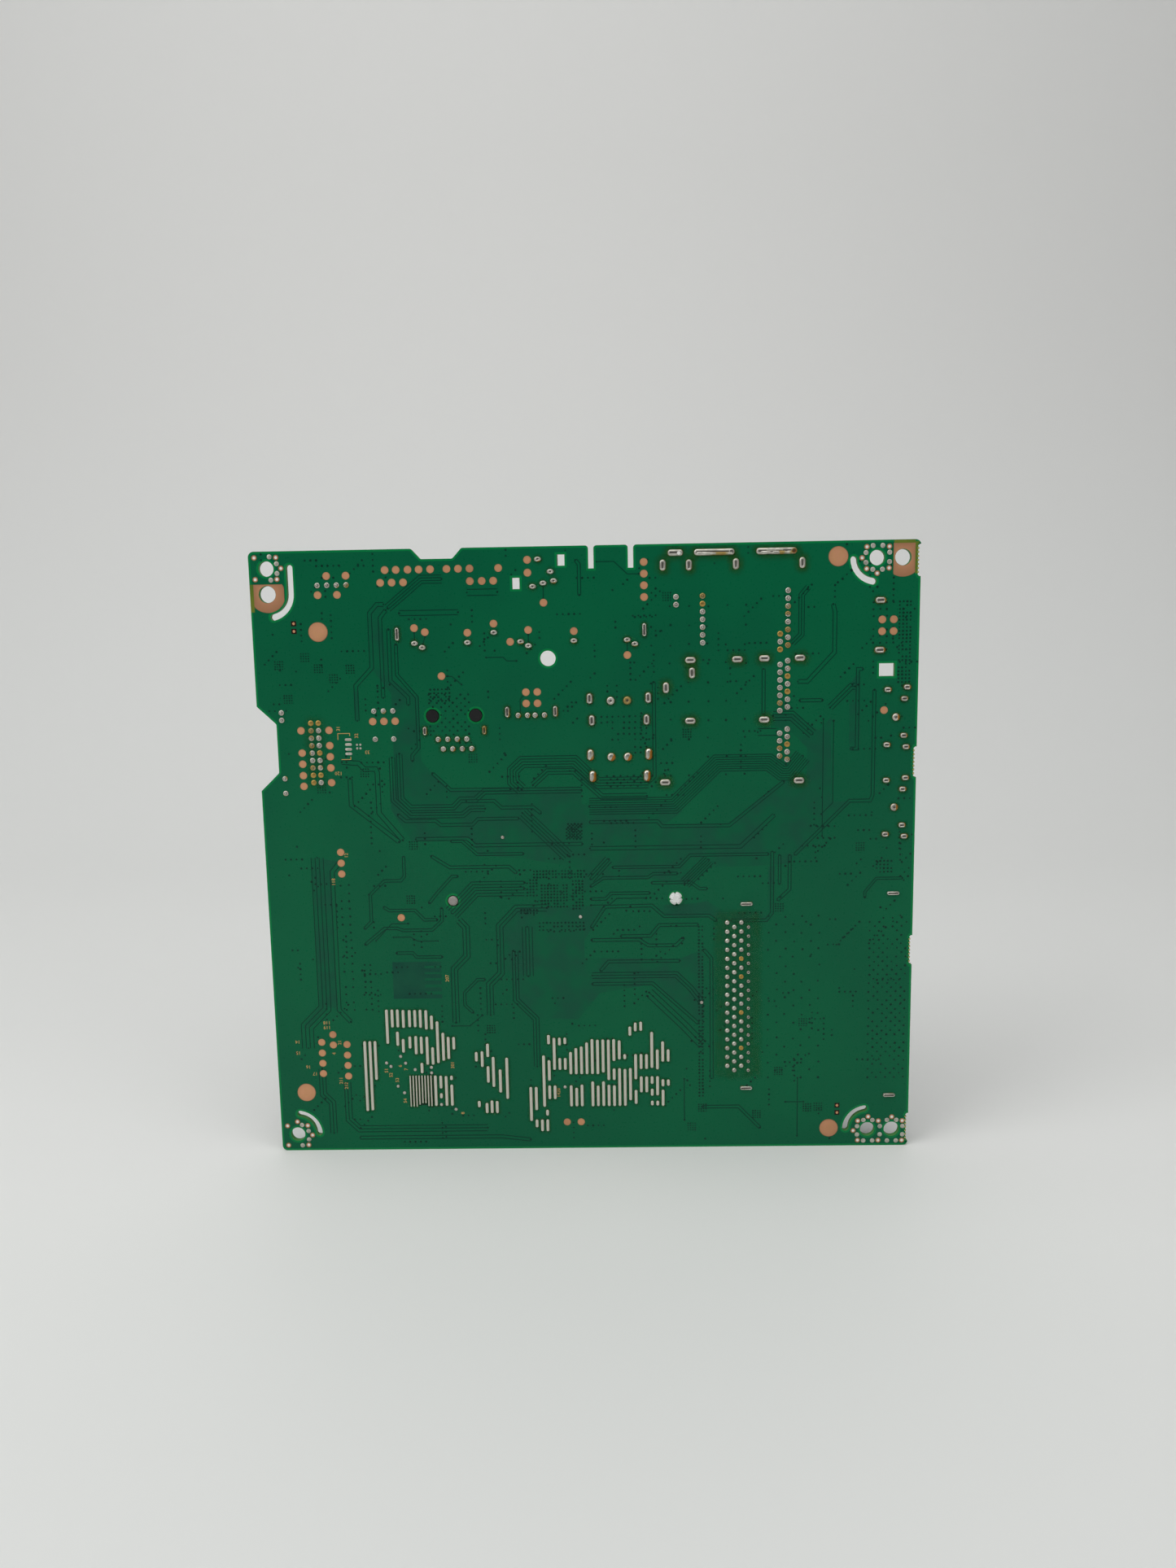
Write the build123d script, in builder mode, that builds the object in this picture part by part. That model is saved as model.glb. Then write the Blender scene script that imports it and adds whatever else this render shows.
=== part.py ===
from build123d import *
import os

# TV main board, standing upright as it hangs in a set, in millimetres.
# X runs along the lower edge, Z up, and the solder face looks towards -Y.
# The origin is the middle of the four chassis screw holes, on the solder face.
# Places on the board are measured from its lower left corner, seen from the solder side.

# Board outline
board_width = 175.0
board_height = 165.7
board_thickness = 1.6
corner_radius = 1.5
overrun = 1.0
top_notch_x = 42.6
top_notch_mouth = 13.3
top_notch_floor = 8.4
top_notch_depth = 2.7
left_notch_drop = 51.85
left_notch_mouth = 22.7
left_notch_floor = 13.1
left_notch_depth = 5.0
notch_radius = 0.8
slit_x = 94.73
slit_pitch = 10.34
slit_width = 1.4
slit_depth = 5.9
break_depth = 0.5
break_length = 8.2
break_shares = (0.032, 0.339, 0.65, 0.968)
bite_radius = 0.34
bite_pitch = 1.02
bite_count = 8
bite_sides = 6

# Screw holes, locating holes and relief slots
screw_span_x = 159.2
screw_span_z = 156.4
screw_inset_x = 4.55
screw_inset_z = 4.8
screw_hole_radius = 2.0
earth_hole_drop = 6.6
earth_hole_radius = 2.2
outer_hole_step = 6.65
outer_hole_radius = 2.1
locating_hole_x = 77.8
locating_hole_drop = 29.05
locating_hole_radius = 2.05
side_window_inset = 8.25
side_window_drop = 33.5
side_window_width = 4.1
side_window_height = 3.4
slot_radius = 6.1
slot_width = 1.75
slot_start = 4.0
slot_sweep = 77.0
slot_straight = 6.7

# Tinned copper strips: column number, lower end and upper end in their field
strip_thickness = 0.22
strip_width = 0.98
strip_pitch = 1.5
strip_field_bottom = 4.0
strip_field_height = 40.0
long_strip_x = 24.55
long_strip_pitch = 1.43
long_strip_shares = ((0, 0.185, 0.7), (1, 0.19, 0.7), (2, 0.413, 0.7))
upper_strip_x = 31.0
upper_strip_shares = (
    (0, 0.675, 0.926), (1, 0.793, 0.926), (2, 0.793, 0.926), (3.05, 0.789, 0.922),
    (4.2, 0.793, 0.921), (5.2, 0.793, 0.921), (6.2, 0.788, 0.922), (7.25, 0.775, 0.919),
    (8.25, 0.775, 0.88), (9.25, 0.531, 0.838), (1.85, 0.66, 0.766), (2.85, 0.61, 0.713),
    (4.1, 0.639, 0.731), (5.2, 0.596, 0.733), (6.2, 0.599, 0.729), (7.25, 0.52, 0.728),
    (8.25, 0.52, 0.651), (10.25, 0.548, 0.755), (11.2, 0.56, 0.725), (12.2, 0.628, 0.724),
    (6.15, 0.458, 0.538), (8.55, 0.218, 0.445), (9.55, 0.345, 0.443), (9.55, 0.273, 0.315),
    (10.55, 0.218, 0.44), (11.55, 0.406, 0.443), (11.55, 0.218, 0.378),
)
comb_strip_x = 36.8
comb_strip_pitch = 0.83
comb_strip_width = 0.44
comb_strip_shares = (
    (0, 0.215, 0.445), (1, 0.215, 0.445), (2, 0.215, 0.445), (3, 0.23, 0.445),
    (4, 0.24, 0.445), (5, 0.24, 0.445), (6, 0.218, 0.445), (7, 0.218, 0.445),
)
middle_strip_x = 55.45
middle_strip_shares = (
    (0, 0.54, 0.613), (1.07, 0.5, 0.618), (2.13, 0.571, 0.673), (2.1, 0.385, 0.509),
    (3.1, 0.353, 0.576), (4.33, 0.311, 0.485), (5.6, 0.265, 0.569), (0.27, 0.205, 0.255),
    (1.7, 0.161, 0.24), (2.63, 0.161, 0.258), (3.6, 0.161, 0.254),
)
right_strip_x = 70.35
right_strip_shares = (
    (0, 0.1, 0.354), (1, 0.18, 0.354), (1, 0.053, 0.115), (2, 0.024, 0.115), (3, 0.024, 0.115),
    (3, 0.139, 0.186), (2.5, 0.204, 0.583), (3.5, 0.26, 0.364), (3.5, 0.395, 0.548),
    (3.5, 0.659, 0.731), (4.5, 0.26, 0.364), (4.5, 0.473, 0.71), (5.5, 0.473, 0.563),
    (5.5, 0.65, 0.71), (6.5, 0.473, 0.563), (6.5, 0.659, 0.71), (7.5, 0.205, 0.364),
    (7.5, 0.44, 0.606), (8.5, 0.205, 0.345), (8.5, 0.44, 0.634), (9.5, 0.205, 0.368),
    (9.5, 0.44, 0.645), (10.5, 0.44, 0.674), (11.5, 0.204, 0.39), (11.5, 0.44, 0.698),
    (12.5, 0.205, 0.36), (12.5, 0.439, 0.693), (13.5, 0.205, 0.39), (13.5, 0.45, 0.694),
    (14.5, 0.205, 0.365), (14.5, 0.395, 0.693), (15.5, 0.204, 0.361), (15.5, 0.395, 0.483),
    (15.5, 0.533, 0.696), (16.5, 0.205, 0.485), (16.5, 0.544, 0.686), (17.5, 0.205, 0.479),
    (17.5, 0.545, 0.586), (18.5, 0.246, 0.485), (18.5, 0.715, 0.785), (19.5, 0.219, 0.325),
    (19.5, 0.398, 0.586), (19.5, 0.746, 0.813), (20.5, 0.303, 0.424), (20.5, 0.473, 0.586),
    (20.5, 0.749, 0.819), (21.5, 0.303, 0.423), (21.5, 0.473, 0.585), (22.5, 0.207, 0.245),
    (22.5, 0.278, 0.333), (22.5, 0.364, 0.424), (22.5, 0.48, 0.745), (23.5, 0.205, 0.245),
    (23.5, 0.28, 0.424), (23.5, 0.469, 0.618), (24.5, 0.203, 0.325), (24.5, 0.345, 0.401),
    (24.5, 0.525, 0.676), (25.5, 0.349, 0.399), (25.5, 0.525, 0.618),
)

# Solder joints: low cones round the pins, ridges along the tabs
joint_sides = 6
cone_taper = 28
ridge_taper = 33
pin_joint_height = 0.8
tab_joint_height = 0.55
header_joint_radius = 0.92
jack_joint_radius = 0.95
lan_joint_radius = 0.85
tuner_joint_radius = 0.85
card_joint_radius = 0.76
peg_joint_radius = 1.15
tab_width = 1.9
tab_length = 3.1
earth_point_x = 6.5
earth_point_shares = (0.745, 0.733, 0.638, 0.614)

# Power header and speaker header
pin_side = 0.5
power_x = 15.2
power_drop = 53.15
power_pitch = 2.0
power_columns = 2
power_rows = 9
power_margin = 2.1
power_height = 7.2
power_pin_height = 4.6
speaker_x = 21.6
speaker_drop = 9.0
speaker_pitch = 2.54
speaker_pins = 4
speaker_margin = 2.4
speaker_height = 7.6
speaker_pin_height = 5.0
shroud_wall = 0.7
shroud_floor = 1.6
shroud_key_width = 3.0

# Optical jack: three pins and two pegs under an upright body
optical_x = 33.75
optical_drop = 42.2
optical_pitch = 2.54
optical_pins = 3
optical_peg_span = 4.95
optical_peg_step = 7.5
optical_width = 10.2
optical_depth = 11.4
optical_height = 13.0
optical_mouth = 6.3
optical_mouth_chamfer = 1.1
optical_mouth_depth = 7.5
optical_edge = 0.6
emitter_radius = 1.2
emitter_height = 2.4

# Audio-video strip: five upright jacks in one housing
av_x = 70.75
av_drop = 24.5
av_pitch = 14.0
av_count = 5
av_switch_step_x = 2.0
av_switch_step_z = 1.1
av_tab_span = 65.0
av_tab_step = 2.5
av_tab_width = 1.4
av_tab_length = 3.7
av_ground_step = 7.0
av_housing_width = 66.4
av_housing_depth = 11.4
av_housing_height = 7.0
av_axis_step = 3.8
av_shell_radius = 4.15
av_shell_wall = 0.4
av_shell_height = 8.8
av_insert_gap = 0.05
av_insert_drop = 1.6
av_bore_radius = 1.65

# Phone jack: an upright body between two windows in the board
phone_x = 75.8
phone_drop = 6.5
phone_body = 9.2
phone_body_height = 9.0
phone_body_chamfer = 1.4
phone_bore_radius = 1.8
phone_bore_depth = 7.0
phone_bush_radius = 3.6
phone_bush_height = 4.2
phone_window_width = 2.0
phone_window_height = 2.9
phone_window_step_x = 5.9
phone_window_step_z = 2.9
phone_pin_shares = ((-0.01, 0.35), (0.34, 0.0), (0.43, -0.26), (0.13, -0.32), (-0.17, -0.41))

# Network jack, upright, with two pegs through the board
lan_x = 52.55
lan_drop = 47.7
lan_width = 16.2
lan_depth = 14.2
lan_height = 16.5
lan_sheet = 0.3
lan_pitch = 2.54
lan_row_pins = 4
lan_stagger = 0.635
lan_near_row = 2.3
lan_far_row = 4.9
lan_peg_span = 11.5
lan_peg_step = 4.0
lan_peg_radius = 1.65
lan_peg_hole_radius = 1.78
lan_peg_length = 1.9
lan_tab_span = 15.85
lan_tab_width = 1.3
lan_tab_length = 2.5
lan_mouth_width = 11.9
lan_mouth_depth = 6.9
lan_latch_width = 6.2
lan_latch_depth = 1.7
lan_cavity_depth = 12.5
lan_lip = 0.5
lan_contact_pitch = 1.02
lan_contact_count = 8
lan_contact_width = 0.42
lan_contact_thickness = 0.35
lan_contact_height = 9.0
lan_contact_lean = 1.6
lan_spring_width = 2.4
lan_spring_length = 7.0

# Data sockets: one upright behind the rear panel, one at the right edge
data_width = 13.1
data_height = 5.7
data_wall = 0.35
data_depth = 14.0
data_corner = 0.6
data_floor = 3.4
data_tongue_width = 11.1
data_tongue_thickness = 1.9
data_tongue_length = 8.2
data_tongue_shift = 0.75
data_tongue_gap = 0.05
data_window_width = 1.9
data_window_length = 5.2
data_window_span = 5.4
data_rear_x = 73.1
data_rear_drop = 43.5
data_pin_shares = (-0.267, -0.076, 0.076, 0.267)
data_rear_pin_step = 0.45
data_rear_tab_span = 12.75
data_rear_tab_step = 0.5
data_rear_tab_width = 1.5
data_side_drop = 21.85
data_side_tab_inset = 10.2
data_side_tab_span = 12.9

# Video sockets: two upright behind the rear panel, two at the right edge
video_width = 15.2
video_height = 5.9
video_wall = 0.35
video_depth = 12.2
video_taper = 1.9
video_shoulder = 2.3
video_floor = 3.6
video_tongue_width = 11.2
video_tongue_thickness = 1.5
video_tongue_length = 6.8
video_tongue_gap = 0.05
video_spring_width = 1.8
video_spring_length = 4.4
video_spring_span = 6.8
video_rear_x = 96.35
video_rear_drop = 42.7
video_rear_pitch = 15.0
video_rear_upper_tab_span = 15.5
video_rear_lower_tab_span = 14.5
video_rear_tab_step = 2.9
video_rear_peg_span = 4.4
video_rear_peg_step = 2.25
video_side_drop = 46.0
video_side_pitch = 24.1
video_side_front_inset = 2.85
video_side_front_span = 15.8
video_side_rear_inset = 7.9
video_side_rear_span = 14.6
video_side_inner_inset = 3.5
video_side_inner_span = 9.75
video_side_peg_inset = 5.65
video_side_tab_length = 2.2
video_side_tab_width = 1.6
side_overhang = 0.4

# Tuner can: sheet steel frame and lid over an inner board with two aerial sockets
tuner_x = 108.2
tuner_width = 36.2
tuner_length = 60.2
tuner_top_gap = 2.3
tuner_height = 9.6
tuner_sheet = 0.5
tuner_partition_share = 0.538
tuner_board_gap = 0.5
tuner_board_lift = 3.0
tuner_board_thickness = 1.0
tuner_pitch = 2.02
tuner_lid_gap = 0.1
tuner_skirt = 3.2
tuner_skirt_notch = 1.2
tuner_skirt_notches = 5
tuner_lug_length = 10.8
tuner_small_lug_length = 4.3
tuner_lug_shares = (0.37, 0.815)
tuner_small_lug_share = 0.091
tuner_upright_tab_shares = (
    (0, 0.948), (0.188, 0.947), (0.525, 0.948), (1, 0.948), (0.207, 0.482), (0.017, 0.419),
)
tuner_level_tab_shares = (
    (0.196, 0.538), (0.536, 0.538), (0.732, 0.54), (0.989, 0.54),
    (0.193, 0.272), (0.732, 0.272), (0.006, 0), (0.989, 0),
)
tuner_pin_shares = (
    (0.285, 0.814, 7), (0.9, 0.831, 8), (0.845, 0.645, 3), (0.9, 0.528, 7),
    (0.845, 0.512, 7), (0.9, 0.229, 5), (0.845, 0.211, 4), (0.094, 0.812, 2),
)
rf_body_radius = 5.0
rf_wall_gap = 0.6
rf_body_rise = 1.2
rf_lid_gap = 0.3
rf_barrel_height = 9.0
antenna_barrel_radius = 4.9
antenna_bore_radius = 4.35
antenna_post_radius = 2.1
antenna_contact_radius = 1.2
satellite_barrel_radius = 4.7
satellite_bore_radius = 3.3
satellite_contact_radius = 0.7
rf_bore_depth = 8.0
rf_post_drop = 1.2
rf_insulator_gap = 0.05

# Card slot: pin header with two guide arms under a steel cage, open at the right edge
card_middle = 43.43
card_pin_inset = 50.1
card_column_pitch = 1.92
card_columns = 4
card_row_pitch = 2.55
card_rows = 17
card_stagger = 0.635
card_cage_inset = 2.0
card_cage_length = 41.0
card_cage_width = 57.4
card_cage_height = 8.4
card_sheet = 0.5
card_cage_window_width = 9.0
card_cage_window_length = 12.0
card_cage_windows = 3
card_header_width = 58.6
card_header_depth = 8.6
card_header_height = 8.0
card_header_lap = 1.6
card_arm_gap = 0.1
card_arm_thickness = 1.0
card_arm_height = 7.2
card_rail_reach = 1.2
card_rail_height = 2.0
card_rail_groove = 3.5
card_pin_pitch = 1.27
card_pin_count = 34
card_pin_rows = 2
card_pin_side = 0.44
card_pin_length = 6.5
card_pin_lift = 3.9
card_front_foot_inset = 5.45
card_front_foot_span = 57.3
card_rear_foot_inset = 44.9
card_rear_foot_span = 52.4
card_foot_length = 3.6
card_foot_width = 1.25

# Processor, heat sink and push pins
sink_x = 80.75
sink_z_share = 0.4315
sink_width = 52.0
sink_depth = 41.0
sink_base = 2.6
sink_fins = 10
sink_fin_thickness = 1.3
sink_fin_height = 9.0
sink_ear_radius = 4.6
pin_span = 60.5
pin_shaft_radius = 1.3
pin_hole_radius = 1.55
pin_head_radius = 3.3
pin_head_height = 1.6
pin_barb_radius = 1.75
pin_barb_height = 1.5
pin_barb_tip_radius = 1.0
pin_left_rise = 0.3
pin_left_tip_radius = 0.9
processor_side = 23.0
processor_height = 1.5
processor_cap_side = 19.0
processor_cap_height = 0.5
processor_step_x = -1.6
processor_step_z = 0.6
pad_side = 19.0
pad_thickness = 0.8

# Memory, regulators, coils and panel connectors
memory_width = 7.6
memory_length = 13.2
memory_height = 1.1
memory_gap = 2.4
memory_x_shares = (0.385, 0.505)
flash_x = 60.0
flash_drop = 69.0
flash_width = 11.5
flash_length = 13.0
chip_edge = 0.12
regulator_side = 6.0
regulator_height = 0.9
regulator_low_shares = ((0.21, 0.112), (0.335, 0.437), (0.54, 0.598))
regulator_high_shares = ((0.135, 0.55),)
coil_side = 6.8
coil_height = 3.4
coil_corner = 1.5
coil_low_shares = ((0.255, -0.13), (0.33, 0.153), (0.6, 0.375))
coil_high_shares = ((0.075, 0.785), (0.195, 0.785))
panel_z = 5.2
panel_x_shares = (0.23, 0.56)
panel_width = 33.0
panel_depth = 4.8
panel_height = 2.0
panel_slot_width = 29.0
panel_slot_height = 0.9
panel_slot_depth = 3.0
panel_sheet = 0.25
panel_shield_width = 30.4
panel_shield_lip = 0.9

# Places that follow from the sizes
board_left = -screw_inset_x - screw_span_x / 2
board_bottom = -screw_inset_z - screw_span_z / 2
board_right = board_left + board_width
screw_right = screw_inset_x + screw_span_x
screw_top = screw_inset_z + screw_span_z
earth_hole_z = screw_top - earth_hole_drop
left_notch_z = board_height - left_notch_drop
locating_hole_z = board_height - locating_hole_drop
power_z = board_height - power_drop
speaker_z = board_height - speaker_drop
optical_z = board_height - optical_drop
av_z = board_height - av_drop
phone_z = board_height - phone_drop
lan_z = board_height - lan_drop
data_rear_z = board_height - data_rear_drop
data_side_z = board_height - data_side_drop
video_rear_z = board_height - video_rear_drop
video_side_z = board_height - video_side_drop
tuner_z = board_height - tuner_top_gap - tuner_length
tuner_middle_x = tuner_x + tuner_width / 2
tuner_middle_z = tuner_z + tuner_length / 2
rf_z = tuner_z + tuner_length - tuner_sheet - rf_wall_gap - rf_body_radius
rf_base = tuner_board_lift + tuner_board_thickness
rf_body_height = tuner_height + tuner_sheet + rf_body_rise - rf_base
card_header_x = board_width - card_cage_inset - card_cage_length - card_header_depth / 2 + card_header_lap
sink_z = sink_z_share * board_height
sink_low = sink_z - sink_depth / 2
memory_z = sink_low - memory_gap - memory_length / 2
processor_x = sink_x + processor_step_x
processor_z = sink_z + processor_step_z
sink_lift = processor_height + processor_cap_height + pad_thickness
flash_z = board_height - flash_drop

solder_face = Plane(origin=(board_left, 0, board_bottom), x_dir=(1, 0, 0), z_dir=(0, -1, 0))


def spot(x, z, height=0):
    """The plane over a place on the component side, facing away from the board."""
    origin = (board_left + x, board_thickness + height, board_bottom + z)
    return Plane(origin=origin, x_dir=(-1, 0, 0), z_dir=(0, 1, 0))


def side_face(x, z, height=0):
    """The plane across the board at a place on the component side, facing its right edge."""
    origin = (board_left + x, board_thickness + height, board_bottom + z)
    return Plane(origin=origin, x_dir=(0, 0, -1), z_dir=(1, 0, 0))


def side_port(z, depth, height):
    """The plane at the inner end of a port whose mouth stands a little past the right edge."""
    return side_face(board_width + side_overhang - depth, z, height)


def cone(radius):
    """Solder cone round a pin."""
    with BuildPart() as joint:
        with BuildSketch():
            RegularPolygon(radius, joint_sides)
        extrude(amount=pin_joint_height, taper=cone_taper)
    return joint.part


def ridge(width, length):
    """Solder ridge along a tab."""
    with BuildPart() as joint:
        with BuildSketch():
            Rectangle(width, length)
        extrude(amount=tab_joint_height, taper=ridge_taper)
    return joint.part


def power_places(low_shares, high_shares):
    """Places of power parts, some below the heat sink's edge and some below the top edge."""
    low = [(share_x * board_width, sink_low - share_z * sink_depth) for share_x, share_z in low_shares]
    top = board_height
    high = [(share_x * board_width, top - share_z * optical_drop) for share_x, share_z in high_shares]
    return low + high


def save(piece, name):
    """Label a finished piece and write it."""
    piece.part.label = name
    export_step(piece.part, f"parts/{name}.step")


os.makedirs("parts", exist_ok=True)

# Laminate with every hole that light passes through
slot_arcs = (
    CenterArc((screw_inset_x, screw_inset_z), slot_radius, slot_start, slot_sweep),
    CenterArc((screw_right, screw_inset_z), slot_radius, 180 - slot_start, -slot_sweep),
    CenterArc((screw_right, screw_top), slot_radius, 180 + slot_start, slot_sweep),
    CenterArc((screw_inset_x, earth_hole_z), slot_radius, 0, -slot_sweep),
)
with BuildPart() as circuit_board:
    with BuildSketch(solder_face) as outline:
        RectangleRounded(board_width, board_height, corner_radius, align=(Align.MIN, Align.MIN))
        with BuildLine():
            mouth_ends = (top_notch_x, top_notch_x + top_notch_mouth)
            floor_start = top_notch_x + (top_notch_mouth - top_notch_floor) / 2
            Polyline(
                (mouth_ends[0], board_height),
                (floor_start, board_height - top_notch_depth),
                (floor_start + top_notch_floor, board_height - top_notch_depth),
                (mouth_ends[1], board_height),
                close=True,
            )
        make_face(mode=Mode.SUBTRACT)
        with BuildLine():
            Polyline(
                (0, left_notch_z - left_notch_mouth / 2),
                (left_notch_depth, left_notch_z - left_notch_floor / 2),
                (left_notch_depth, left_notch_z + left_notch_floor / 2),
                (0, left_notch_z + left_notch_mouth / 2),
                close=True,
            )
        make_face(mode=Mode.SUBTRACT)
        with Locations((slit_x, board_height)):
            with GridLocations(slit_pitch, 0, 2, 1):
                Rectangle(slit_width, 2 * slit_depth, mode=Mode.SUBTRACT)
        notch_corners = [
            corner for corner in outline.vertices()
            if (abs(corner.X - left_notch_depth) < overrun
                and abs(corner.Y - left_notch_z) < left_notch_mouth)
            or (top_notch_x - overrun < corner.X < mouth_ends[1] + overrun and corner.Y > overrun)
            or (abs(corner.X - slit_x) < slit_pitch and corner.Y > board_height - overrun)
        ]
        fillet(notch_corners, notch_radius)
        for share in break_shares:
            with Locations((board_width, share * board_height)):
                Rectangle(2 * break_depth, break_length, mode=Mode.SUBTRACT)
            with Locations((board_width - break_depth, share * board_height)):
                with GridLocations(0, bite_pitch, 1, bite_count):
                    RegularPolygon(bite_radius, bite_sides, mode=Mode.SUBTRACT)
        with Locations(
            (screw_inset_x, screw_inset_z), (screw_right, screw_inset_z),
            (screw_inset_x, screw_top), (screw_right, screw_top),
        ):
            Circle(screw_hole_radius, mode=Mode.SUBTRACT)
        with Locations((screw_inset_x, earth_hole_z)):
            Circle(earth_hole_radius, mode=Mode.SUBTRACT)
        with Locations(
            (screw_right + outer_hole_step, screw_inset_z), (screw_right + outer_hole_step, screw_top)
        ):
            Circle(outer_hole_radius, mode=Mode.SUBTRACT)
        with Locations((locating_hole_x, locating_hole_z)):
            Circle(locating_hole_radius, mode=Mode.SUBTRACT)
        with Locations((board_width - side_window_inset, board_height - side_window_drop)):
            Rectangle(side_window_width, side_window_height, mode=Mode.SUBTRACT)
        with Locations(
            (phone_x + phone_window_step_x, phone_z + phone_window_step_z),
            (phone_x - phone_window_step_x, phone_z - phone_window_step_z),
        ):
            Rectangle(phone_window_width, phone_window_height, mode=Mode.SUBTRACT)
        with Locations((sink_x, sink_z)):
            with GridLocations(pin_span, 0, 2, 1):
                Circle(pin_hole_radius, mode=Mode.SUBTRACT)
        with Locations((lan_x, lan_z + lan_peg_step)):
            with GridLocations(lan_peg_span, 0, 2, 1):
                Circle(lan_peg_hole_radius, mode=Mode.SUBTRACT)
        for slot_arc in slot_arcs:
            SlotArc(slot_arc, slot_width, mode=Mode.SUBTRACT)
        with Locations((screw_inset_x + slot_radius, earth_hole_z + slot_straight / 2)):
            SlotCenterToCenter(slot_straight, slot_width, rotation=90, mode=Mode.SUBTRACT)
    extrude(amount=-board_thickness)
save(circuit_board, "circuit_board")

# Solder-coated copper strips
strip_fields = (
    (long_strip_x, long_strip_pitch, strip_width, long_strip_shares),
    (upper_strip_x, strip_pitch, strip_width, upper_strip_shares),
    (comb_strip_x, comb_strip_pitch, comb_strip_width, comb_strip_shares),
    (middle_strip_x, strip_pitch, strip_width, middle_strip_shares),
    (right_strip_x, strip_pitch, strip_width, right_strip_shares),
)
with BuildPart() as tinned_strips:
    with BuildSketch(solder_face):
        for field_x, pitch, width, strip_shares in strip_fields:
            for column, low_share, high_share in strip_shares:
                middle_share = (low_share + high_share) / 2
                with Locations(
                    (field_x + column * pitch, strip_field_bottom + middle_share * strip_field_height)
                ):
                    Rectangle(width, (high_share - low_share) * strip_field_height)
    extrude(amount=strip_thickness)
save(tinned_strips, "tinned_strips")

# Solder joints of the left-hand headers and earth points
header_cone = cone(header_joint_radius)
with BuildPart(solder_face) as solder_header_pins:
    with Locations((power_x, power_z)):
        with GridLocations(power_pitch, power_pitch, power_columns, power_rows):
            add(header_cone)
    with Locations((speaker_x, speaker_z)):
        with GridLocations(speaker_pitch, 0, speaker_pins, 1):
            add(header_cone)
    with Locations((optical_x, optical_z)):
        with GridLocations(optical_pitch, 0, optical_pins, 1):
            add(header_cone)
    with Locations((optical_x, optical_z - optical_peg_step)):
        with GridLocations(optical_peg_span, 0, 2, 1):
            add(header_cone)
    with Locations([(earth_point_x, share * board_height) for share in earth_point_shares]):
        add(header_cone)
save(solder_header_pins, "solder_header_pins")

# Solder joints of the audio-video strip and the phone jack
jack_cone = cone(jack_joint_radius)
jack_ridge = ridge(av_tab_width, av_tab_length)
with BuildPart(solder_face) as solder_av_jacks:
    with Locations((av_x, av_z)):
        with GridLocations(av_pitch, 0, av_count, 1):
            add(jack_cone)
    with Locations((av_x + av_switch_step_x, av_z - av_switch_step_z)):
        with GridLocations(2 * av_pitch, 0, 3, 1):
            add(jack_cone)
    with Locations((av_x - av_ground_step, av_z + av_tab_step)):
        add(jack_cone)
    for share_x, share_z in phone_pin_shares:
        with Locations((phone_x + share_x * phone_body, phone_z + share_z * phone_body)):
            add(jack_cone)
    with Locations((av_x, av_z + av_tab_step)):
        with GridLocations(av_tab_span, 0, 2, 1):
            add(jack_ridge)
save(solder_av_jacks, "solder_av_jacks")

# Solder joints of the network jack and the rear data socket
lan_cone = cone(lan_joint_radius)
lan_ridge = ridge(lan_tab_width, lan_tab_length)
data_ridge = ridge(data_rear_tab_width, tab_length)
with BuildPart(solder_face) as solder_lan_data:
    for step_x, step_z in ((-lan_stagger, -lan_near_row), (lan_stagger, -lan_far_row)):
        with Locations((lan_x + step_x, lan_z + step_z)):
            with GridLocations(lan_pitch, 0, lan_row_pins, 1):
                add(lan_cone)
    for share in data_pin_shares:
        with Locations((data_rear_x + share * data_width, data_rear_z - data_rear_pin_step)):
            add(lan_cone)
    with Locations((lan_x, lan_z)):
        with GridLocations(lan_tab_span, 0, 2, 1):
            add(lan_ridge)
    with Locations((data_rear_x, data_rear_z + data_rear_tab_step)):
        with GridLocations(data_rear_tab_span, 0, 2, 1):
            add(data_ridge)
save(solder_lan_data, "solder_lan_data")

# Solder joints of the two rear video sockets
peg_cone = cone(peg_joint_radius)
upright_ridge = ridge(tab_width, tab_length)
with BuildPart(solder_face) as solder_video_rear:
    for port in range(2):
        port_z = video_rear_z - port * video_rear_pitch
        with Locations((video_rear_x, port_z + video_rear_peg_step)):
            with GridLocations(video_rear_peg_span, 0, 2, 1):
                add(peg_cone)
        with Locations((video_rear_x, port_z + video_rear_tab_step)):
            with GridLocations(video_rear_upper_tab_span, 0, 2, 1):
                add(upright_ridge)
        with Locations((video_rear_x, port_z - video_rear_tab_step)):
            with GridLocations(video_rear_lower_tab_span, 0, 2, 1):
                add(upright_ridge)
save(solder_video_rear, "solder_video_rear")

# Solder ridges of the tuner can
level_ridge = ridge(tab_length, tab_width)
lug_ridge = ridge(tuner_lug_length, tab_width)
small_lug_ridge = ridge(tuner_small_lug_length, tab_width)
with BuildPart(solder_face) as solder_tuner_tabs:
    for share_x, share_z in tuner_upright_tab_shares:
        with Locations((tuner_x + share_x * tuner_width, tuner_z + share_z * tuner_length)):
            add(upright_ridge)
    for share_x, share_z in tuner_level_tab_shares:
        with Locations((tuner_x + share_x * tuner_width, tuner_z + share_z * tuner_length)):
            add(level_ridge)
    for share in tuner_lug_shares:
        with Locations((tuner_x + share * tuner_width, tuner_z + tuner_length)):
            add(lug_ridge)
    with Locations((tuner_x + tuner_small_lug_share * tuner_width, tuner_z + tuner_length)):
        add(small_lug_ridge)
save(solder_tuner_tabs, "solder_tuner_tabs")

# Solder joints of the tuner's pin columns
tuner_cone = cone(tuner_joint_radius)
with BuildPart(solder_face) as solder_tuner_pins:
    for share_x, share_z, count in tuner_pin_shares:
        column_x = tuner_x + share_x * tuner_width
        column_z = tuner_z + share_z * tuner_length
        with Locations([(column_x, column_z - row * tuner_pitch) for row in range(count)]):
            add(tuner_cone)
save(solder_tuner_pins, "solder_tuner_pins")

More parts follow.
